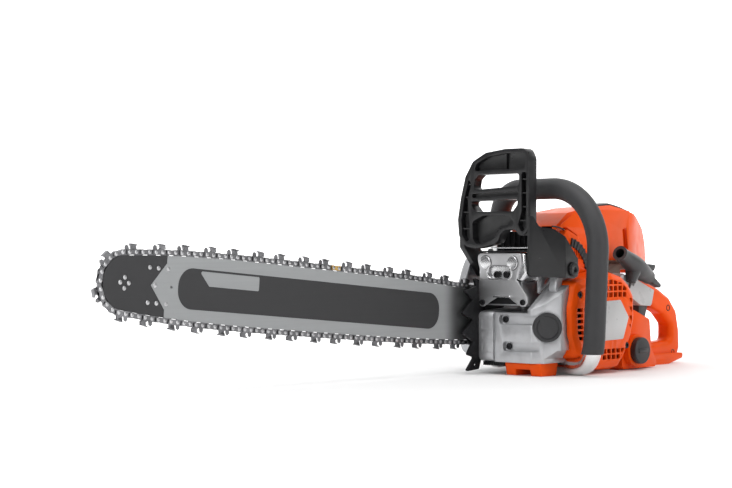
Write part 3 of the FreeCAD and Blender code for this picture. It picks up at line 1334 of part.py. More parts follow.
def control_lever():
    """Combined stop and choke lever on the left of the rear handle."""
    x, z = LEVER_PIVOT
    stem = rod_y(x, z, -96, -82, 5.0)
    paddle = prism([(x - 6, z - 6), (x + 16, z - 4), (x + 22, z + 4), (x - 6, z + 6)],
                   "y", -97, -91, 3)
    return fuse([stem, paddle])


def clutch_hub_and_shoes():
    return group([clutch_hub(), clutch_shoes(), clutch_springs()])


def bar_studs_and_nuts():
    return group([bar_studs(), bar_nuts()])


def socket_screws():
    return group([crankcase_screws(), muffler_screws(), starter_screws()])


def piston_set():
    return group([piston(), piston_rings(), wrist_pin()])


def rod_and_pin():
    return group([connecting_rod(), crank_pin()])


def spark_plug_and_boot():
    return group([spark_plug(), plug_boot()])


def pulley_and_rope():
    return group([starter_pulley(), rope_coil()])


def all_nodes():
    nodes = {}
    rivets = build_chain(nodes)
    sprocket_angle = link_angle_near(rivets, 0.0, 1)
    nose_angle = link_angle_near(rivets, BAR_CENTRES, -1)
    nodes["nose_sprocket"] = nose_sprocket(nose_angle)
    nodes["rim_sprocket"] = rim_sprocket(sprocket_angle)
    makers = [guide_bar, bar_nose, bar_rivets, bar_decal, clutch_drum, clutch_hub_and_shoes,
              brake_band, oil_pump, clutch_cover, bar_studs_and_nuts, chain_tensioner,
              chain_catcher, bumper_spikes, crankcase_right, crankcase_left, socket_screws,
              front_foot, cylinder, crankshaft, rod_and_pin, piston_set, main_bearings, flywheel,
              ignition_module, spark_plug_and_boot, muffler, heat_shield, carburettor,
              throttle_plate, intake_boot, air_filter, top_cover, top_trim, cylinder_panel,
              louvre, starter_cover, starter_plate, pulley_and_rope, starter_grip, rope_lead,
              tank_and_handle, bridge_block, throttle_trigger, throttle_lockout, front_handle,
              handle_sleeve, handle_mounts, av_springs, hand_guard, guard_cap, fuel_cap, oil_cap,
              control_lever]
    for maker in makers:
        nodes[maker.__name__] = maker()
    return nodes


def base_offset(nodes):
    """Vector from the crankshaft origin to the middle of the saw's underside."""
    ends_x = []
    ends_y = []
    for name in ("cutters", "tie_straps", "tank_and_handle"):
        limits = nodes[name].optimalBoundingBox(False)
        ends_x += [limits.XMin, limits.XMax]
    for name in ("handle_sleeve", "clutch_cover", "bar_studs_and_nuts", "front_handle"):
        limits = nodes[name].optimalBoundingBox(False)
        ends_y += [limits.YMin, limits.YMax]
    middle_x = (min(ends_x) + max(ends_x)) / 2
    middle_y = (min(ends_y) + max(ends_y)) / 2
    return vec(-middle_x, -middle_y, -GROUND_Z)


def export_all():
    os.makedirs("parts", exist_ok=True)
    nodes = all_nodes()
    offset = base_offset(nodes)
    for name, shape in nodes.items():
        shape.translate(offset)
        shape.exportStep("parts/" + name + ".step")


if __name__ == "__main__":
    export_all()
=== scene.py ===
import bmesh
import bpy
import json
import math
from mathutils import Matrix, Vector


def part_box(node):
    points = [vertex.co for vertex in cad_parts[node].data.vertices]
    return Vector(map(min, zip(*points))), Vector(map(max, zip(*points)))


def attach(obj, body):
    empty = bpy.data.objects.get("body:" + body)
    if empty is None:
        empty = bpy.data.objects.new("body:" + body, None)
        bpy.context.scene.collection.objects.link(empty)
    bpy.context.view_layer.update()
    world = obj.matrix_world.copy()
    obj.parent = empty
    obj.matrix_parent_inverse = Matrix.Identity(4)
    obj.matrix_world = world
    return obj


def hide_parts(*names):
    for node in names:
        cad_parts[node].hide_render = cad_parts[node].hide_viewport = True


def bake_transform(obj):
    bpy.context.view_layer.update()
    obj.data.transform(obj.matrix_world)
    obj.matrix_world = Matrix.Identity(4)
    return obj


# Chainsaw looks.  Lengths below are in millimetres in the saw's own frame: origin on the
# crankshaft axis in the bar's middle plane, +X to the rear, +Y to the saw's right, +Z up.
# place() turns them into the row frame, where the crankshaft axis is read from the clutch drum
# and the middle plane from the guide bar.

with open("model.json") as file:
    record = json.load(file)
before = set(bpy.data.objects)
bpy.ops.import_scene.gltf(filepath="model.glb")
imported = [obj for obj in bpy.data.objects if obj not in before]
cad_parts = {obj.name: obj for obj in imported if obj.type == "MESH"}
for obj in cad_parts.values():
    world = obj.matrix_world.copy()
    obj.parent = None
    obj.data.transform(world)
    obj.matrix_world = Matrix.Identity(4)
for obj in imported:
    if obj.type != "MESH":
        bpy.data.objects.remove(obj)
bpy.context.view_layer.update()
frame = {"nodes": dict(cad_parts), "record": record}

MM = 0.001
WELD = 2e-6                 # points closer than this, in metres, are one point
drum_low, drum_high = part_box("clutch_drum")
bar_low, bar_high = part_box("guide_bar")
ORIGIN = Vector(((drum_low.x + drum_high.x) / 2, (bar_low.y + bar_high.y) / 2,
                 (drum_low.z + drum_high.z) / 2))
BODY_OF = {n: body for body, names in frame["record"]["behaviour"]["bodies"].items()
           for n in names}
SLOT_OF = {row["node"]: row["material_slot"] for row in frame["record"]["subparts"]}


def place(x, y, z):
    """A point of the saw's own frame, in the row frame."""
    return ORIGIN + Vector((x, y, z)) * MM


# ---- materials ----------------------------------------------------------------------------
class Shader:
    """A principled material with its nodes linked by short calls."""

    def __init__(self, name, roughness=0.5, metallic=0.0):
        self.material = bpy.data.materials.new(name)
        self.material.use_nodes = True
        self.nodes = self.material.node_tree.nodes
        self.links = self.material.node_tree.links
        self.surface = self.nodes["Principled BSDF"]
        self.surface.inputs["Roughness"].default_value = roughness
        self.surface.inputs["Metallic"].default_value = metallic
        self.coords = self.nodes.new("ShaderNodeTexCoord").outputs["Object"]

    def join(self, start, end):
        self.links.new(start, end)

    def stretched(self, x, y, z):
        mapping = self.nodes.new("ShaderNodeMapping")
        mapping.inputs["Scale"].default_value = (x, y, z)
        self.join(self.coords, mapping.inputs["Vector"])
        return mapping.outputs["Vector"]

    def noise(self, scale, detail=4.0, roughness=0.5, vector=None):
        node = self.nodes.new("ShaderNodeTexNoise")
        node.inputs["Scale"].default_value = scale
        node.inputs["Detail"].default_value = detail
        node.inputs["Roughness"].default_value = roughness
        self.join(vector or self.coords, node.inputs["Vector"])
        return node.outputs["Fac"]

    def cells(self, scale):
        node = self.nodes.new("ShaderNodeTexVoronoi")
        node.inputs["Scale"].default_value = scale
        self.join(self.coords, node.inputs["Vector"])
        return node.outputs["Distance"]

    def ramp(self, value, stops):
        node = self.nodes.new("ShaderNodeValToRGB")
        ramp = node.color_ramp
        while len(ramp.elements) < len(stops):
            ramp.elements.new(0.5)
        for element, (position, colour) in zip(ramp.elements, stops):
            element.position = position
            element.color = (*colour, 1.0)
        self.join(value, node.inputs["Fac"])
        return node.outputs["Color"]

    def colour(self, value, stops):
        self.join(self.ramp(value, stops), self.surface.inputs["Base Color"])

    def gloss(self, value, low, high):
        node = self.nodes.new("ShaderNodeMapRange")
        node.inputs["To Min"].default_value = low
        node.inputs["To Max"].default_value = high
        node.inputs["From Min"].default_value = 0.3
        node.inputs["From Max"].default_value = 0.7
        self.join(value, node.inputs["Value"])
        self.join(node.outputs["Result"], self.surface.inputs["Roughness"])

    def bump(self, value, strength, depth_mm):
        node = self.nodes.new("ShaderNodeBump")
        node.inputs["Strength"].default_value = strength
        node.inputs["Distance"].default_value = depth_mm * MM
        self.join(value, node.inputs["Height"])
        previous = self.surface.inputs["Normal"]
        if previous.is_linked:
            self.join(previous.links[0].from_socket, node.inputs["Normal"])
        self.join(node.outputs["Normal"], previous)


def shade(colour, factor):
    """A lighter or darker tone of a colour."""
    return tuple(min(c * factor, 1.0) for c in colour)


def moulded(name, colour, roughness, grain_mm=0.7, relief=0.25, specular=0.5,
            glint=(1.0, 1.0, 1.0), refraction=1.5):
    """Injection-moulded plastic: fine spark-eroded grain, faint flow marks, uneven gloss."""
    shader = Shader(name, roughness)
    shader.surface.inputs["Specular IOR Level"].default_value = specular
    shader.surface.inputs["Specular Tint"].default_value = (*glint, 1.0)
    shader.surface.inputs["IOR"].default_value = refraction
    flow = shader.noise(14.0, 3.0)
    shader.colour(flow, [(0.3, shade(colour, 0.9)), (0.7, shade(colour, 1.08))])
    shader.gloss(shader.noise(60.0, 5.0), roughness - 0.06, roughness + 0.08)
    shader.bump(shader.noise(1000.0 / grain_mm, 2.0), relief, 0.08)
    shader.bump(flow, 0.08, 0.8)
    return shader.material


def lacquered_casting(name, colour, roughness=0.42):
    """Die-cast metal under grey lacquer: orange peel, cast mottling and a little sparkle."""
    shader = Shader(name, roughness, 0.65)
    mottle = shader.noise(45.0, 6.0, 0.6)
    shader.colour(mottle, [(0.25, shade(colour, 0.86)), (0.5, colour), (0.8, shade(colour, 1.1))])
    shader.gloss(shader.noise(220.0, 4.0), roughness - 0.08, roughness + 0.1)
    shader.bump(shader.noise(700.0, 3.0), 0.2, 0.1)
    shader.bump(shader.noise(60.0, 2.0), 0.1, 0.3)
    return shader.material


def machined(name, colour, roughness, lines=(20.0, 2500.0, 2500.0), stain=0.25):
    """Bare metal with drawn lines, handling stains and uneven polish."""
    shader = Shader(name, roughness, 1.0)
    drawn = shader.noise(1.0, 2.0, 0.5, shader.stretched(*lines))
    stains = shader.noise(40.0, 5.0, 0.6)
    shader.colour(stains, [(0.35, shade(colour, 1.0 - stain)), (0.65, colour)])
    shader.gloss(stains, roughness + 0.04, roughness - 0.03)
    shader.bump(drawn, 0.12, 0.012)
    return shader.material


def rubbery(name, colour, roughness=0.62):
    """Rubber sleeve: close stipple with a dusty, slightly uneven sheen."""
    shader = Shader(name, roughness)
    dust = shader.noise(30.0, 5.0, 0.6)
    shader.colour(dust, [(0.3, shade(colour, 0.85)), (0.75, shade(colour, 1.35))])
    shader.gloss(dust, roughness - 0.05, roughness + 0.12)
    shader.bump(shader.cells(900.0), 0.35, 0.12)
    return shader.material


DARK_PAINT_AND_SHADE_STARTS = -177.0         # the bar's tail darkens from here, part dark paint and part painted shade
DARK_PAINT_AND_SHADE_FULL = -140.0           # to here, towards the saw
DARK_PAINT_AND_SHADE_COLOUR = (0.012, 0.012, 0.012, 1.0)


def painted_bar(name, colour, roughness, wear):
    """Satin paint on the bar: ground lines under it, fine scuffs along its length, and a darker tail
    of dark paint and painted shade.
    """
    shader = Shader(name, roughness, 0.25)
    scuffs = shader.noise(1.0, 5.0, 0.7, shader.stretched(8.0, 300.0, 420.0))
    paint = shader.ramp(scuffs, [(0.3, shade(colour, 0.93)), (0.62, colour),
                                 (0.8, shade(colour, wear))])
    split = shader.nodes.new("ShaderNodeSeparateXYZ")
    shader.join(shader.coords, split.inputs["Vector"])
    # clean: share of the plain paint; the rest goes to the darker tail, part dark paint and part
    # painted shade
    clean = shader.nodes.new("ShaderNodeMapRange")
    clean.interpolation_type = "SMOOTHERSTEP"
    clean.inputs["From Min"].default_value = place(DARK_PAINT_AND_SHADE_FULL, 0, 0).x
    clean.inputs["From Max"].default_value = place(DARK_PAINT_AND_SHADE_STARTS, 0, 0).x
    clean.inputs["To Min"].default_value = 0.16
    clean.inputs["To Max"].default_value = 1.0
    shader.join(split.outputs["X"], clean.inputs["Value"])
    dark_paint_and_shade = shader.nodes.new("ShaderNodeMixRGB")
    dark_paint_and_shade.inputs["Color1"].default_value = DARK_PAINT_AND_SHADE_COLOUR
    shader.join(clean.outputs["Result"], dark_paint_and_shade.inputs["Fac"])
    shader.join(paint, dark_paint_and_shade.inputs["Color2"])
    shader.join(dark_paint_and_shade.outputs["Color"], shader.surface.inputs["Base Color"])
    shader.gloss(scuffs, roughness - 0.05, roughness + 0.1)
    shader.bump(shader.noise(1.0, 2.0, 0.5, shader.stretched(10.0, 800.0, 1500.0)), 0.1, 0.05)
    return shader.material


def woven(name, colour, scale):
    """Woven or braided fibre: a close weave, lighter on its crests, with painted shade in its troughs.
    """
    shader = Shader(name, 0.9)
    wave = shader.nodes.new("ShaderNodeTexWave")
    wave.inputs["Scale"].default_value = scale
    wave.inputs["Distortion"].default_value = 1.5
    shader.join(shader.coords, wave.inputs["Vector"])
    # the wave that raises the threads also darkens the troughs between them: painted shade
    shader.colour(wave.outputs["Fac"], [(0.2, shade(colour, 0.7)), (0.8, colour)])
    shader.bump(wave.outputs["Fac"], 0.5, 0.3)
    return shader.material


def sintered(name, colour):
    """Sintered or blackened steel: fine dark grain."""
    shader = Shader(name, 0.5, 0.8)
    grain = shader.noise(900.0, 2.0)
    shader.colour(grain, [(0.3, shade(colour, 0.7)), (0.7, shade(colour, 1.2))])
    shader.bump(grain, 0.3, 0.1)
    return shader.material


STEEL = (0.62, 0.62, 0.63)
TURNED = (250.0, 250.0, 250.0)      # even grain in place of drawn lines
ORANGE_GLINT = (1.0, 0.7, 0.42)     # warm highlights on the orange moulding

MATERIALS = {
    "steel": machined("drawn_steel", STEEL, 0.3),
    "chain_steel": machined("chain_steel", (0.26, 0.26, 0.27), 0.3, TURNED, 0.35),
    "brass": machined("brass_plate", (0.75, 0.48, 0.16), 0.3, TURNED, 0.2),
    "bar_grey": painted_bar("bar_grey_paint", (0.36, 0.37, 0.375), 0.42, 1.12),
    "bar_dark": painted_bar("bar_dark_paint", (0.04, 0.04, 0.042), 0.5, 1.4),
    "black_steel": sintered("blackened_steel", (0.028, 0.028, 0.03)),
    "cast_grey": lacquered_casting("grey_casting", (0.56, 0.565, 0.58), 0.4),
    "cast_iron": sintered("sintered_iron", (0.12, 0.12, 0.12)),
    "aluminium": machined("bare_aluminium", (0.86, 0.86, 0.86), 0.22, (60.0, 2500.0, 60.0), 0.06),
    "bright_metal": machined("polished_sheet", (0.74, 0.74, 0.75), 0.24, (2500.0, 60.0, 2500.0), 0.08),
    "satin_metal": machined("satin_sheet", STEEL, 0.42, (2500.0, 90.0, 2500.0), 0.1),
    "orange": moulded("orange_moulding", (0.87, 0.086, 0.004), 0.34, 0.6, 0.12, 0.42,
                      ORANGE_GLINT, 1.36),
    "dark_plastic": moulded("dark_grey_moulding", (0.027, 0.027, 0.029), 0.42),
    "grey_plastic": moulded("light_grey_moulding", (0.5, 0.5, 0.5), 0.3, 0.6, 0.12, 0.5),
    "black_plastic": moulded("black_moulding", (0.011, 0.011, 0.012), 0.33, 0.8, 0.2),
    "rubber": rubbery("handle_rubber", (0.03, 0.03, 0.032), 0.55),
    "filter_felt": woven("filter_felt", (0.6, 0.58, 0.5), 300.0),
    "rope": woven("braided_rope", (0.1, 0.1, 0.1), 900.0),
}


# ---- mesh helpers -------------------------------------------------------------------------
def new_piece(name, mesh, body, slot):
    """A mesh shown as one piece that rides on a body."""
    piece = bpy.data.objects.new(name, mesh)
    bpy.context.scene.collection.objects.link(piece)
    mesh.materials.clear()
    mesh.materials.append(MATERIALS[slot])
    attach(piece, body)
    return piece


def finish_mesh(piece, bevel_mm, segments=2, angle=32.0):
    """Rounded edges and smooth shading, applied to the mesh."""
    mesh = piece.data
    if bevel_mm > 0:
        modifier = piece.modifiers.new("soft_edges", "BEVEL")
        modifier.width = bevel_mm * MM
        modifier.segments = segments
        modifier.limit_method = "ANGLE"
        modifier.angle_limit = math.radians(angle)
        graph = bpy.context.evaluated_depsgraph_get()
        baked = bpy.data.meshes.new_from_object(piece.evaluated_get(graph))
        piece.modifiers.clear()
        piece.data = baked
        bpy.data.meshes.remove(mesh)
        mesh = baked
    mesh.shade_smooth()
    mesh.set_sharp_from_angle(angle=math.radians(angle))
    return piece


def polished(node, bevel_mm, segments=2, angle=32.0):
    """Copy of a CAD node with clean faces and rounded edges, shown instead of it."""
    mesh = frame["nodes"][node].data.copy()
    work = bmesh.new()
    work.from_mesh(mesh)
    bmesh.ops.remove_doubles(work, verts=work.verts, dist=WELD)
    bmesh.ops.dissolve_limit(work, angle_limit=math.radians(0.6), verts=work.verts,
                             edges=work.edges)
    work.to_mesh(mesh)
    work.free()
    piece = new_piece(node + "_skin", mesh, BODY_OF[node], SLOT_OF[node])
    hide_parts(node)
    return finish_mesh(piece, bevel_mm, segments, angle)


def mesh_from(name, vertices, faces):
    """Mesh with its faces all turned outwards."""
    mesh = bpy.data.meshes.new(name)
    mesh.from_pydata([tuple(v) for v in vertices], [], faces)
    work = bmesh.new()
    work.from_mesh(mesh)
    bmesh.ops.recalc_face_normals(work, faces=work.faces)
    work.to_mesh(mesh)
    work.free()
    return mesh


def block_mesh(name, boxes, turn=None):
    """One mesh of many boxes, each (x0, x1, y0, y1, z0, z1); turn maps each corner."""
    vertices = []
    faces = []
    for x0, x1, y0, y1, z0, z1 in boxes:
        start = len(vertices)
        for x in (x0, x1):
            for y in (y0, y1):
                for z in (z0, z1):
                    point = Vector((x, y, z))
                    vertices.append(place(*(turn(point) if turn else point)))
        for face in ((0, 1, 3, 2), (4, 6, 7, 5), (0, 4, 5, 1), (2, 3, 7, 6), (0, 2, 6, 4),
                     (1, 5, 7, 3)):
            faces.append([start + i for i in face])
    return mesh_from(name, vertices, faces)


def mesh_of_curve(name, curve):
    """The surface of a curve as a plain mesh; the curve object is dropped."""
    holder = bpy.data.objects.new(name + "_line", curve)
    bpy.context.scene.collection.objects.link(holder)
    graph = bpy.context.evaluated_depsgraph_get()
    mesh = bpy.data.meshes.new_from_object(holder.evaluated_get(graph))
    bpy.data.objects.remove(holder)
    mesh.name = name
    return mesh


def ring_sides(count, rings, first=0):
    """Four-cornered faces joining each ring of count points to the next ring."""
    faces = []
    for ring in range(rings - 1):
        start = first + ring * count
        for i in range(count):
            j = (i + 1) % count
            faces.append([start + i, start + j, start + count + j, start + count + i])
    return faces


def ring_ends(count, rings, first=0):
    """Flat faces that close the first and the last ring."""
    last = first + (rings - 1) * count
    return [[first + i for i in range(count)], [last + i for i in range(count)][::-1]]


def tube_along(name, points, radius_mm, body, slot, sides=12):
    """Round bar through points (row frame) as a mesh."""
    curve = bpy.data.curves.new(name, "CURVE")
    curve.dimensions = "3D"
    curve.bevel_depth = radius_mm * MM
    curve.bevel_resolution = max(sides // 4, 1)
    curve.use_fill_caps = True
    line = curve.splines.new("BEZIER")
    line.bezier_points.add(len(points) - 1)
    for knot, point in zip(line.bezier_points, points):
        knot.co = point
        knot.handle_left_type = "AUTO"
        knot.handle_right_type = "AUTO"
    line.resolution_u = 8
    mesh = mesh_of_curve(name, curve)
    piece = new_piece(name, mesh, body, slot)
    mesh.shade_smooth()
    return piece


def rounded(points, radius, steps=5):
    """Outline (y, z) with every corner turned into a short curve."""
    line = []
    for i, corner in enumerate(points):
        here = Vector(corner)
        ends = []
        for other in (points[i - 1], points[(i + 1) % len(points)]):
            reach = Vector(other) - here
            ends.append(here + reach.normalized() * min(radius, reach.length * 0.45))
        for k in range(steps + 1):
            t = k / steps
            line.append(ends[0] * (1 - t) ** 2 + here * 2 * t * (1 - t) + ends[1] * t ** 2)
    return line


def circle(y, z, radius, count=40):
    """Outline of a full circle."""
    return [Vector((y + radius * math.cos(2 * math.pi * i / count),
                    z + radius * math.sin(2 * math.pi * i / count))) for i in range(count)]


def crescent(y, z, outer, inner, start, end, count=24):
    """Outline of a band on part of a circle, angles in degrees."""
    turns = [math.radians(start + (end - start) * i / count) for i in range(count + 1)]
    band = [(outer, a) for a in turns] + [(inner, a) for a in reversed(turns)]
    return [Vector((y + r * math.cos(a), z + r * math.sin(a))) for r, a in band]


def stamped(name, outlines, front, thickness, rim, slot, lean=(0.0, 0.0)):
    """Sheet facing the nose of the saw.  Outlines after the first are holes; rim is the edge
    rounding; lean is a height and the slope of the sheet below it."""
    curve = bpy.data.curves.new(name, "CURVE")
    curve.dimensions = "2D"
    curve.fill_mode = "BOTH"
    curve.extrude = (thickness / 2 - rim) * MM
    curve.bevel_depth = rim * MM
    curve.bevel_resolution = 2
    curve.offset = -rim * MM
    for points in outlines:
        line = curve.splines.new("POLY")
        line.points.add(len(points) - 1)
        for knot, (y, z) in zip(line.points, points):
            knot.co = (y * MM, z * MM, 0.0, 1.0)
        line.use_cyclic_u = True
    mesh = mesh_of_curve(name, curve)
    height, slope = lean
    for vertex in mesh.vertices:
        y, z, depth = vertex.co / MM
        back = max(height - z, 0.0) * slope
        vertex.co = place(front + thickness / 2 + depth + back, y, z)
    work = bmesh.new()
    work.from_mesh(mesh)
    bmesh.ops.remove_doubles(work, verts=work.verts, dist=WELD)
    bmesh.ops.recalc_face_normals(work, faces=work.faces)
    work.to_mesh(mesh)
    work.free()
    return finish_mesh(new_piece(name, mesh, "saw", slot), 0.0)


def lofted(name, sections, slot, bevel_mm, segments=3):
    """Closed body through (x, outline) sections with the same number of (y, z) corners."""
    count = len(sections[0][1])
    vertices = [place(x, y, z) for x, points in sections for y, z in points]
    faces = ring_ends(count, len(sections)) + ring_sides(count, len(sections))
    piece = new_piece(name, mesh_from(name, vertices, faces), "saw", slot)
    return finish_mesh(piece, bevel_mm, segments, 25.0)


# ---- carried-over nodes -------------------------------------------------------------------
SOFT_EDGES = {              # edge rounding in millimetres and its number of steps
    "top_cover": (2.2, 3), "top_trim": (0.8, 2), "cylinder_panel": (0.8, 2),
    "louvre": (0.25, 1), "starter_cover": (0.7, 2), "starter_plate": (0.5, 2),
    "tank_and_handle": (1.5, 3), "bridge_block": (1.5, 3), "throttle_trigger": (1.2, 3),
    "throttle_lockout": (1.6, 3), "crankcase_left": (1.2, 2), "crankcase_right": (1.0, 2),
    "heat_shield": (0.4, 2), "hand_guard": (1.4, 3),
    "guard_cap": (0.6, 2), "bumper_spikes": (0.5, 2), "clutch_cover": (1.5, 3),
    "front_foot": (0.8, 2), "fuel_cap": (0.7, 2), "oil_cap": (0.7, 2),
    "control_lever": (0.8, 2), "chain_catcher": (0.8, 2), "socket_screws": (0.3, 2),
    "handle_mounts": (0.8, 2), "guide_bar": (0.3, 1), "bar_nose": (0.3, 1),
    "bar_studs_and_nuts": (0.4, 2), "cutters": (0.14, 1), "tie_straps": (0.12, 1),
    "drive_links": (0.1, 1), "closing_strap": (0.12, 1), "chain_rivets": (0.18, 2),
    "bar_rivets": (0.12, 2), "carburettor": (0.6, 2), "cylinder": (0.4, 1),
    "air_filter": (0.5, 1), "chain_tensioner": (0.3, 1), "brake_band": (0.2, 1),
    "clutch_drum": (0.4, 2), "oil_pump": (0.4, 1), "flywheel": (0.4, 1),
}

for node, (bevel, segments) in SOFT_EDGES.items():
    polished(node, bevel, segments)
REMADE = ("rope_lead", "muffler")      # nodes shown by pieces built below
for node in list(frame["nodes"]):
    if node not in SOFT_EDGES and node not in REMADE:
        polished(node, 0.0)


# ---- added details ------------------------------------------------------------------------
MUFFLER_FRONT = -113.4      # face of the silencer's front plate
BOSS_Z = 79.4               # height of the two bolt bosses on it


def muffler():
    """Silencer: bright rounded box, stamped front plate, leaning skirt, dark outlet below."""
    box = [(-13, 92.2), (-90, 92.6), (-93.2, 66), (-84, 54), (-22, 54), (-11, 63)]
    body = lofted("muffler_box", [(-60, box), (-110.4, box)], "bright_metal", 4.5, 4)
    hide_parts("muffler")
    port = [(-32, 80), (-56, 80), (-56, 62), (-32, 62)]
    lofted("muffler_port", [(-50, port), (-61, port)], "bright_metal", 2.0, 2)
    outlet = [(-23, 55), (-79, 55), (-88, 23), (-17, 23)]
    lofted("muffler_outlet", [(-62, outlet), (-105, outlet)], "satin_metal", 2.0, 3)
    mouth = rounded([(-24, 52), (-78, 52), (-84, 25), (-20, 25)], 3.0)
    stamped("muffler_mouth", [mouth], -106.2, 1.6, 0.4, "black_steel")
    slot_hole = rounded([(-31.5, 74.7), (-68.2, 74.7), (-68.2, 58.9), (-31.5, 58.9)], 7.8, 8)
    slot_rim = rounded([(-28.2, 76.8), (-71.0, 76.8), (-71.0, 56.8), (-28.2, 56.8)], 9.6, 8)
    plate = rounded([(-14.0, 91.6), (-85.8, 92.0), (-86.6, 80), (-79.5, 66), (-78.6, 56.4),
                     (-15.2, 56.4), (-16.6, 68), (-12.2, 84)], 4.5)
    stamped("muffler_plate", [plate, slot_hole], MUFFLER_FRONT, 3.0, 1.1, "satin_metal")
    stamped("muffler_slot_rim", [slot_rim, slot_hole], MUFFLER_FRONT - 1.2, 2.2, 1.05,
            "bright_metal")
    for name, y, turn in (("right", -26.4, 30.0), ("left", -71.2, 100.0)):
        stamped("muffler_boss_" + name, [circle(y, BOSS_Z, 8.8)], MUFFLER_FRONT - 1.1, 2.0, 0.9,
                "bright_metal")
        # dark crescent along one side of each boss: painted shade of its raised edge
        stamped("muffler_boss_shade_" + name, [crescent(y, BOSS_Z, 10.0, 9.2, turn, turn + 200.0)],
                MUFFLER_FRONT - 0.25, 0.5, 0.1, "black_steel")
    skirt = rounded([(-14.6, 57.4), (-78.4, 57.4), (-93.4, 36.5), (-94.4, 28), (-90, 21.8),
                     (-82.0, 22.6), (-71, 28.6), (-62.9, 34.2), (-44.6, 34.0), (-31, 27.2),
                     (-19.5, 20.4), (-13.0, 22.5), (-11.4, 32)], 3.2)
    stamped("muffler_skirt", [skirt], MUFFLER_FRONT + 0.2, 1.4, 0.6, "satin_metal",
            (57.4, 0.075))
    lip = rounded([(-40, 36.8), (-67, 36.8), (-69, 33.6), (-38, 33.6)], 1.4)
    stamped("muffler_lip", [lip], MUFFLER_FRONT - 0.6, 3.4, 1.0, "bright_metal")
    # dark strip along the top edge of the silencer
    top = [(-62, [(-10, 95.2), (-94, 95.6), (-94, 93.6), (-10, 93.2)]),
           (-108, [(-12, 95.2), (-92, 95.6), (-92, 93.6), (-12, 93.2)])]
    lofted("muffler_dark_top_strip", top, "black_steel", 0.7, 2)


def cylinder_baffle():
    """Dark ribbed plate behind the silencer that keeps its heat off the cylinder cover."""
    boxes = [(-59.5, -58.0, -92, -2, 93, 121)]
    boxes += [(-61.5, -58.5, -88 + 9 * i, -86.6 + 9 * i, 94, 120) for i in range(10)]
    piece = new_piece("cylinder_baffle", block_mesh("cylinder_baffle", boxes), "saw",
                      "black_steel")
    return finish_mesh(piece, 0.3, 1)


def ridge_strip():
    """Dark trim along the ridge of the top cover, a little proud of its left edge."""
    ridge = [(24, 153.2, -82), (44, 155.2, -81.5), (66, 156.8, -80.5), (90, 158.3, -79.5),
             (104, 156.0, -80.5), (116, 153.2, -82.5), (136, 147.2, -84), (156, 141.2, -79),
             (173, 133.7, -72), (190, 126.2, -65), (200, 116.0, -60.5)]
    section = [(0.0, -3.0), (0.4, 1.6), (2.2, 2.8), (15.0, 3.2), (18.0, 2.4), (19.0, -3.0)]
    share = [0.15, 0.6, 0.85, 1, 1, 1, 1, 1, 1, 1, 0.8]
    vertices = [place(x, left + across * part, top + (rise * part if rise > 0 else rise))
                for (x, top, left), part in zip(ridge, share) for across, rise in section]
    faces = ring_ends(len(section), len(ridge)) + ring_sides(len(section), len(ridge))
    piece = new_piece("ridge_strip", mesh_from("ridge_strip", vertices, faces), "saw",
                      "dark_plastic")
    return finish_mesh(piece, 0.5, 2)


def crankcase_marks():
    """Raised outlines cast into the narrow front strip of the crankcase."""
    proud, sunk = -0.45, 0.4
    ridge = 0.7
    left, right = -40.0, -19.0
    boxes = []
    for low, high in ((-9.0, 5.5), (-22.0, -13.0), (-39.0, -26.0)):
        boxes += [(proud, sunk, left, right, low, low + ridge),
                  (proud, sunk, left, right, high - ridge, high),
                  (proud, sunk, left, left + ridge, low, high),
                  (proud, sunk, right - ridge, right, low, high)]
    front, bottom, lean = -112.0, -51.0, 1.0 / 65.0

    def on_face(point):
        return (point.x + front - (point.z - bottom) * lean, point.y, point.z)

    piece = new_piece("crankcase_marks", block_mesh("crankcase_marks", boxes, on_face), "saw",
                      "cast_grey")
    return finish_mesh(piece, 0.2, 1)


def bottom_fins():
    """Dark cooling fins under the front of the crankcase."""
    pitch, thick, leftmost = 3.3, 1.6, -53.0
    edges = [leftmost + pitch * i for i in range(11)]
    boxes = [(-109.0, -76.0, y, y + thick, -56.5, -51.02) for y in edges]
    piece = new_piece("bottom_fins", block_mesh("bottom_fins", boxes), "saw", "black_plastic")
    return finish_mesh(piece, 0.3, 2)


def cover_seam_line():
    """Dark line along the lower edge of the top cover, left side."""
    line = [(-66, 127.5), (-50, 125.8), (-34, 119.6), (-17.5, 109.4), (-5, 97.0), (2.5, 86.5),
            (14, 80.5), (34, 78.2)]
    points = [place(x, -100.2, z) for x, z in line]
    return tube_along("cover_seam_line", points, 1.0, "saw", "rubber", 8)


def round_screw(name, centre, size):
    """Socket screw with a collar, on a face that looks to the saw's left."""
    x, y, z = centre
    round_rings = [(0.0, 4.6), (-0.5, 4.4), (-0.5, 3.4), (0.9, 3.3)]
    socket_rings = [(0.9, 2.0), (1.8, 1.9), (1.8, 0.0)]
    rings = round_rings + socket_rings
    count = 24
    vertices = []
    for depth, radius in rings:
        for i in range(count):
            turn = 2 * math.pi * i / count
            if (depth, radius) in socket_rings:
                turn = 2 * math.pi * (i // 4) / 6
            vertices.append(place(x + size * radius * math.cos(turn), y + depth,
                                  z + size * radius * math.sin(turn)))
    faces = ring_sides(count, len(rings))
    piece = new_piece(name, mesh_from(name, vertices, faces), "saw", "black_steel")
    piece.data.shade_smooth()
    piece.data.set_sharp_from_angle(angle=math.radians(35))
    return piece


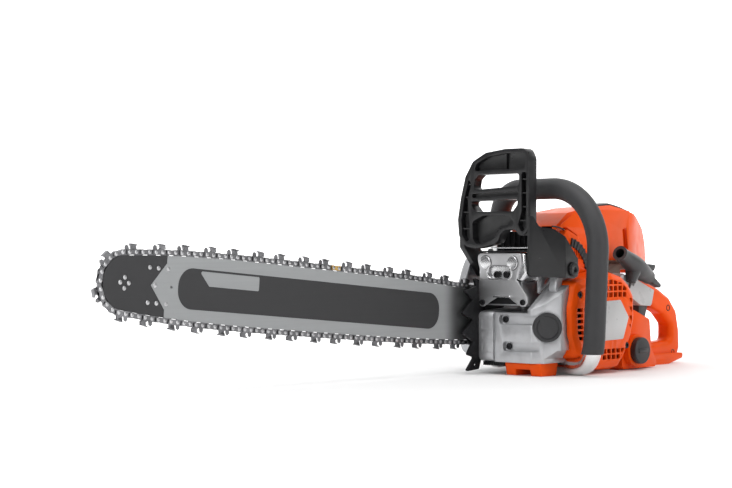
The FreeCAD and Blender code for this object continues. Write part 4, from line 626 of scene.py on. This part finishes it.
def starter_rope():
    """Three-strand rope from the housing up into the pull grip."""
    low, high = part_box("rope_lead")
    centre = (low + high) / 2
    pull = Vector((0.361, 0.0, 0.933)).normalized()
    strand_radius, strand_offset, turns = 0.9 * MM, 0.85 * MM, 5.0
    length = (high.z - low.z) / pull.z * 0.97
    start = centre - pull * length / 2
    side = Vector((0, 1, 0))
    other = pull.cross(side).normalized()
    steps = 90
    count = 8
    vertices = []
    faces = []
    for strand in range(3):
        first = len(vertices)
        for k in range(steps + 1):
            share = k / steps
            twist = 2 * math.pi * (share * turns + strand / 3)
            middle = start + pull * length * share
            middle += (side * math.cos(twist) + other * math.sin(twist)) * strand_offset
            for i in range(count):
                turn = 2 * math.pi * i / count
                edge = side * math.cos(turn) + other * math.sin(turn)
                vertices.append(middle + edge * strand_radius)
        faces += ring_sides(count, steps + 1, first) + ring_ends(count, steps + 1, first)
    mesh = mesh_from("starter_rope", vertices, faces)
    mesh.shade_smooth()
    rope = bpy.data.objects.new("starter_rope", mesh)
    bpy.context.scene.collection.objects.link(rope)
    mesh.materials.append(MATERIALS["rope"])
    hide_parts("rope_lead")
    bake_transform(rope)
    return rope


muffler()
cylinder_baffle()
ridge_strip()
crankcase_marks()
bottom_fins()
cover_seam_line()
round_screw("loop_screw", (225.2, -88.0, 12.4), 1.0)
round_screw("heel_screw", (237.2, -88.0, -51.1), 0.8)
starter_rope()


# ---- camera, floor, light -----------------------------------------------------------------
VIEW_HEADING = math.radians(47.0)           # measured from +Y towards +X
FORWARD = Vector((math.sin(VIEW_HEADING), math.cos(VIEW_HEADING), 0.0))
CAMERA_AT = (-1964.5, -1535.8, 104.2)
LENS_MM = 88.5


def add_camera():
    """Camera on a level line of sight, low and in front of the saw's left side."""
    camera = bpy.data.cameras.new("camera")
    camera.lens = LENS_MM
    camera.sensor_width = 36.0
    camera.clip_end = 60.0
    holder = bpy.data.objects.new("camera", camera)
    bpy.context.scene.collection.objects.link(holder)
    holder.location = place(*CAMERA_AT)
    holder.rotation_euler = FORWARD.to_track_quat("-Z", "Y").to_euler()
    bpy.context.scene.camera = holder


def add_sweep():
    """Seamless studio sweep: a floor that curves up behind the saw."""
    across = Vector((FORWARD.y, -FORWARD.x, 0.0))
    curve_start, curve_radius = 2.6, 1.6
    back = curve_start + curve_radius
    profile = [(-7.0, 0.0), (-3.0, 0.0), (-1.0, 0.0), (1.0, 0.0), (curve_start, 0.0)]
    profile += [(curve_start + curve_radius * math.sin(math.radians(9 * i)),
                 curve_radius - curve_radius * math.cos(math.radians(9 * i)))
                for i in range(1, 11)]
    profile += [(back, 3.5), (back, 6.0)]
    columns = [-7.0, -3.5, 0.0, 3.5, 7.0]
    vertices = []
    for along, height in profile:
        for side in columns:
            vertices.append(FORWARD * along + across * side + Vector((0, 0, height)))
    faces = []
    width = len(columns)
    for row in range(len(profile) - 1):
        for column in range(width - 1):
            first = row * width + column
            faces.append([first, first + 1, first + width + 1, first + width])
    mesh = bpy.data.meshes.new("studio_sweep")
    mesh.from_pydata([tuple(v) for v in vertices], [], faces)
    mesh.shade_smooth()
    sweep = bpy.data.objects.new("studio_sweep", mesh)
    bpy.context.scene.collection.objects.link(sweep)
    shader = Shader("studio_paper", 0.7)
    shader.colour(shader.noise(3.0), [(0.0, (0.84, 0.84, 0.84)), (1.0, (0.88, 0.88, 0.88))])
    shader.surface.inputs["Specular IOR Level"].default_value = 0.1
    length = shader.nodes.new("ShaderNodeVectorMath")
    length.operation = "LENGTH"
    shader.join(shader.coords, length.inputs[0])
    glow = shader.nodes.new("ShaderNodeMapRange")
    glow.inputs["From Min"].default_value = 0.45
    glow.inputs["From Max"].default_value = 1.6
    glow.inputs["To Min"].default_value = 0.02
    glow.inputs["To Max"].default_value = 1.0
    shader.join(length.outputs["Value"], glow.inputs["Value"])
    shader.surface.inputs["Emission Color"].default_value = (1, 1, 1, 1)
    shader.join(glow.outputs["Result"], shader.surface.inputs["Emission Strength"])
    mesh.materials.append(shader.material)


def add_area(name, position, target, size, power):
    """Rectangular lamp aimed at a point of the row frame."""
    light = bpy.data.lights.new(name, "AREA")
    light.shape = "RECTANGLE"
    light.size = size[0]
    light.size_y = size[1]
    light.energy = power
    holder = bpy.data.objects.new(name, light)
    bpy.context.scene.collection.objects.link(holder)
    holder.location = position
    aim = Vector(target) - Vector(position)
    holder.rotation_euler = aim.to_track_quat("-Z", "Y").to_euler()


def add_world():
    """Dim studio: grey room, a little brighter overhead than at the sides."""
    world = bpy.data.worlds.new("studio")
    world.use_nodes = True
    nodes = world.node_tree.nodes
    links = world.node_tree.links
    coords = nodes.new("ShaderNodeTexCoord")
    split = nodes.new("ShaderNodeSeparateXYZ")
    ramp = nodes.new("ShaderNodeValToRGB")
    links.new(coords.outputs["Generated"], split.inputs["Vector"])
    links.new(split.outputs["Z"], ramp.inputs["Fac"])
    ramp.color_ramp.elements[0].position = 0.0
    ramp.color_ramp.elements[0].color = (0.16, 0.16, 0.165, 1)
    ramp.color_ramp.elements[1].position = 0.8
    ramp.color_ramp.elements[1].color = (0.5, 0.5, 0.5, 1)
    links.new(ramp.outputs["Color"], nodes["Background"].inputs["Color"])
    nodes["Background"].inputs["Strength"].default_value = 0.7
    bpy.context.scene.world = world


add_camera()
add_sweep()
add_world()
add_area("top_box", (-0.1, -0.2, 2.0), (0.15, 0.0, 0.0), (2.4, 1.3), 30.0)
add_area("front_left", (-2.3, 0.3, 1.3), (0.1, 0.0, 0.1), (0.9, 1.6), 18.0)
add_area("side_right", (0.5, -2.4, 1.0), (0.2, 0.0, 0.1), (1.0, 1.4), 15.0)
bpy.context.scene.view_settings.view_transform = "Standard"
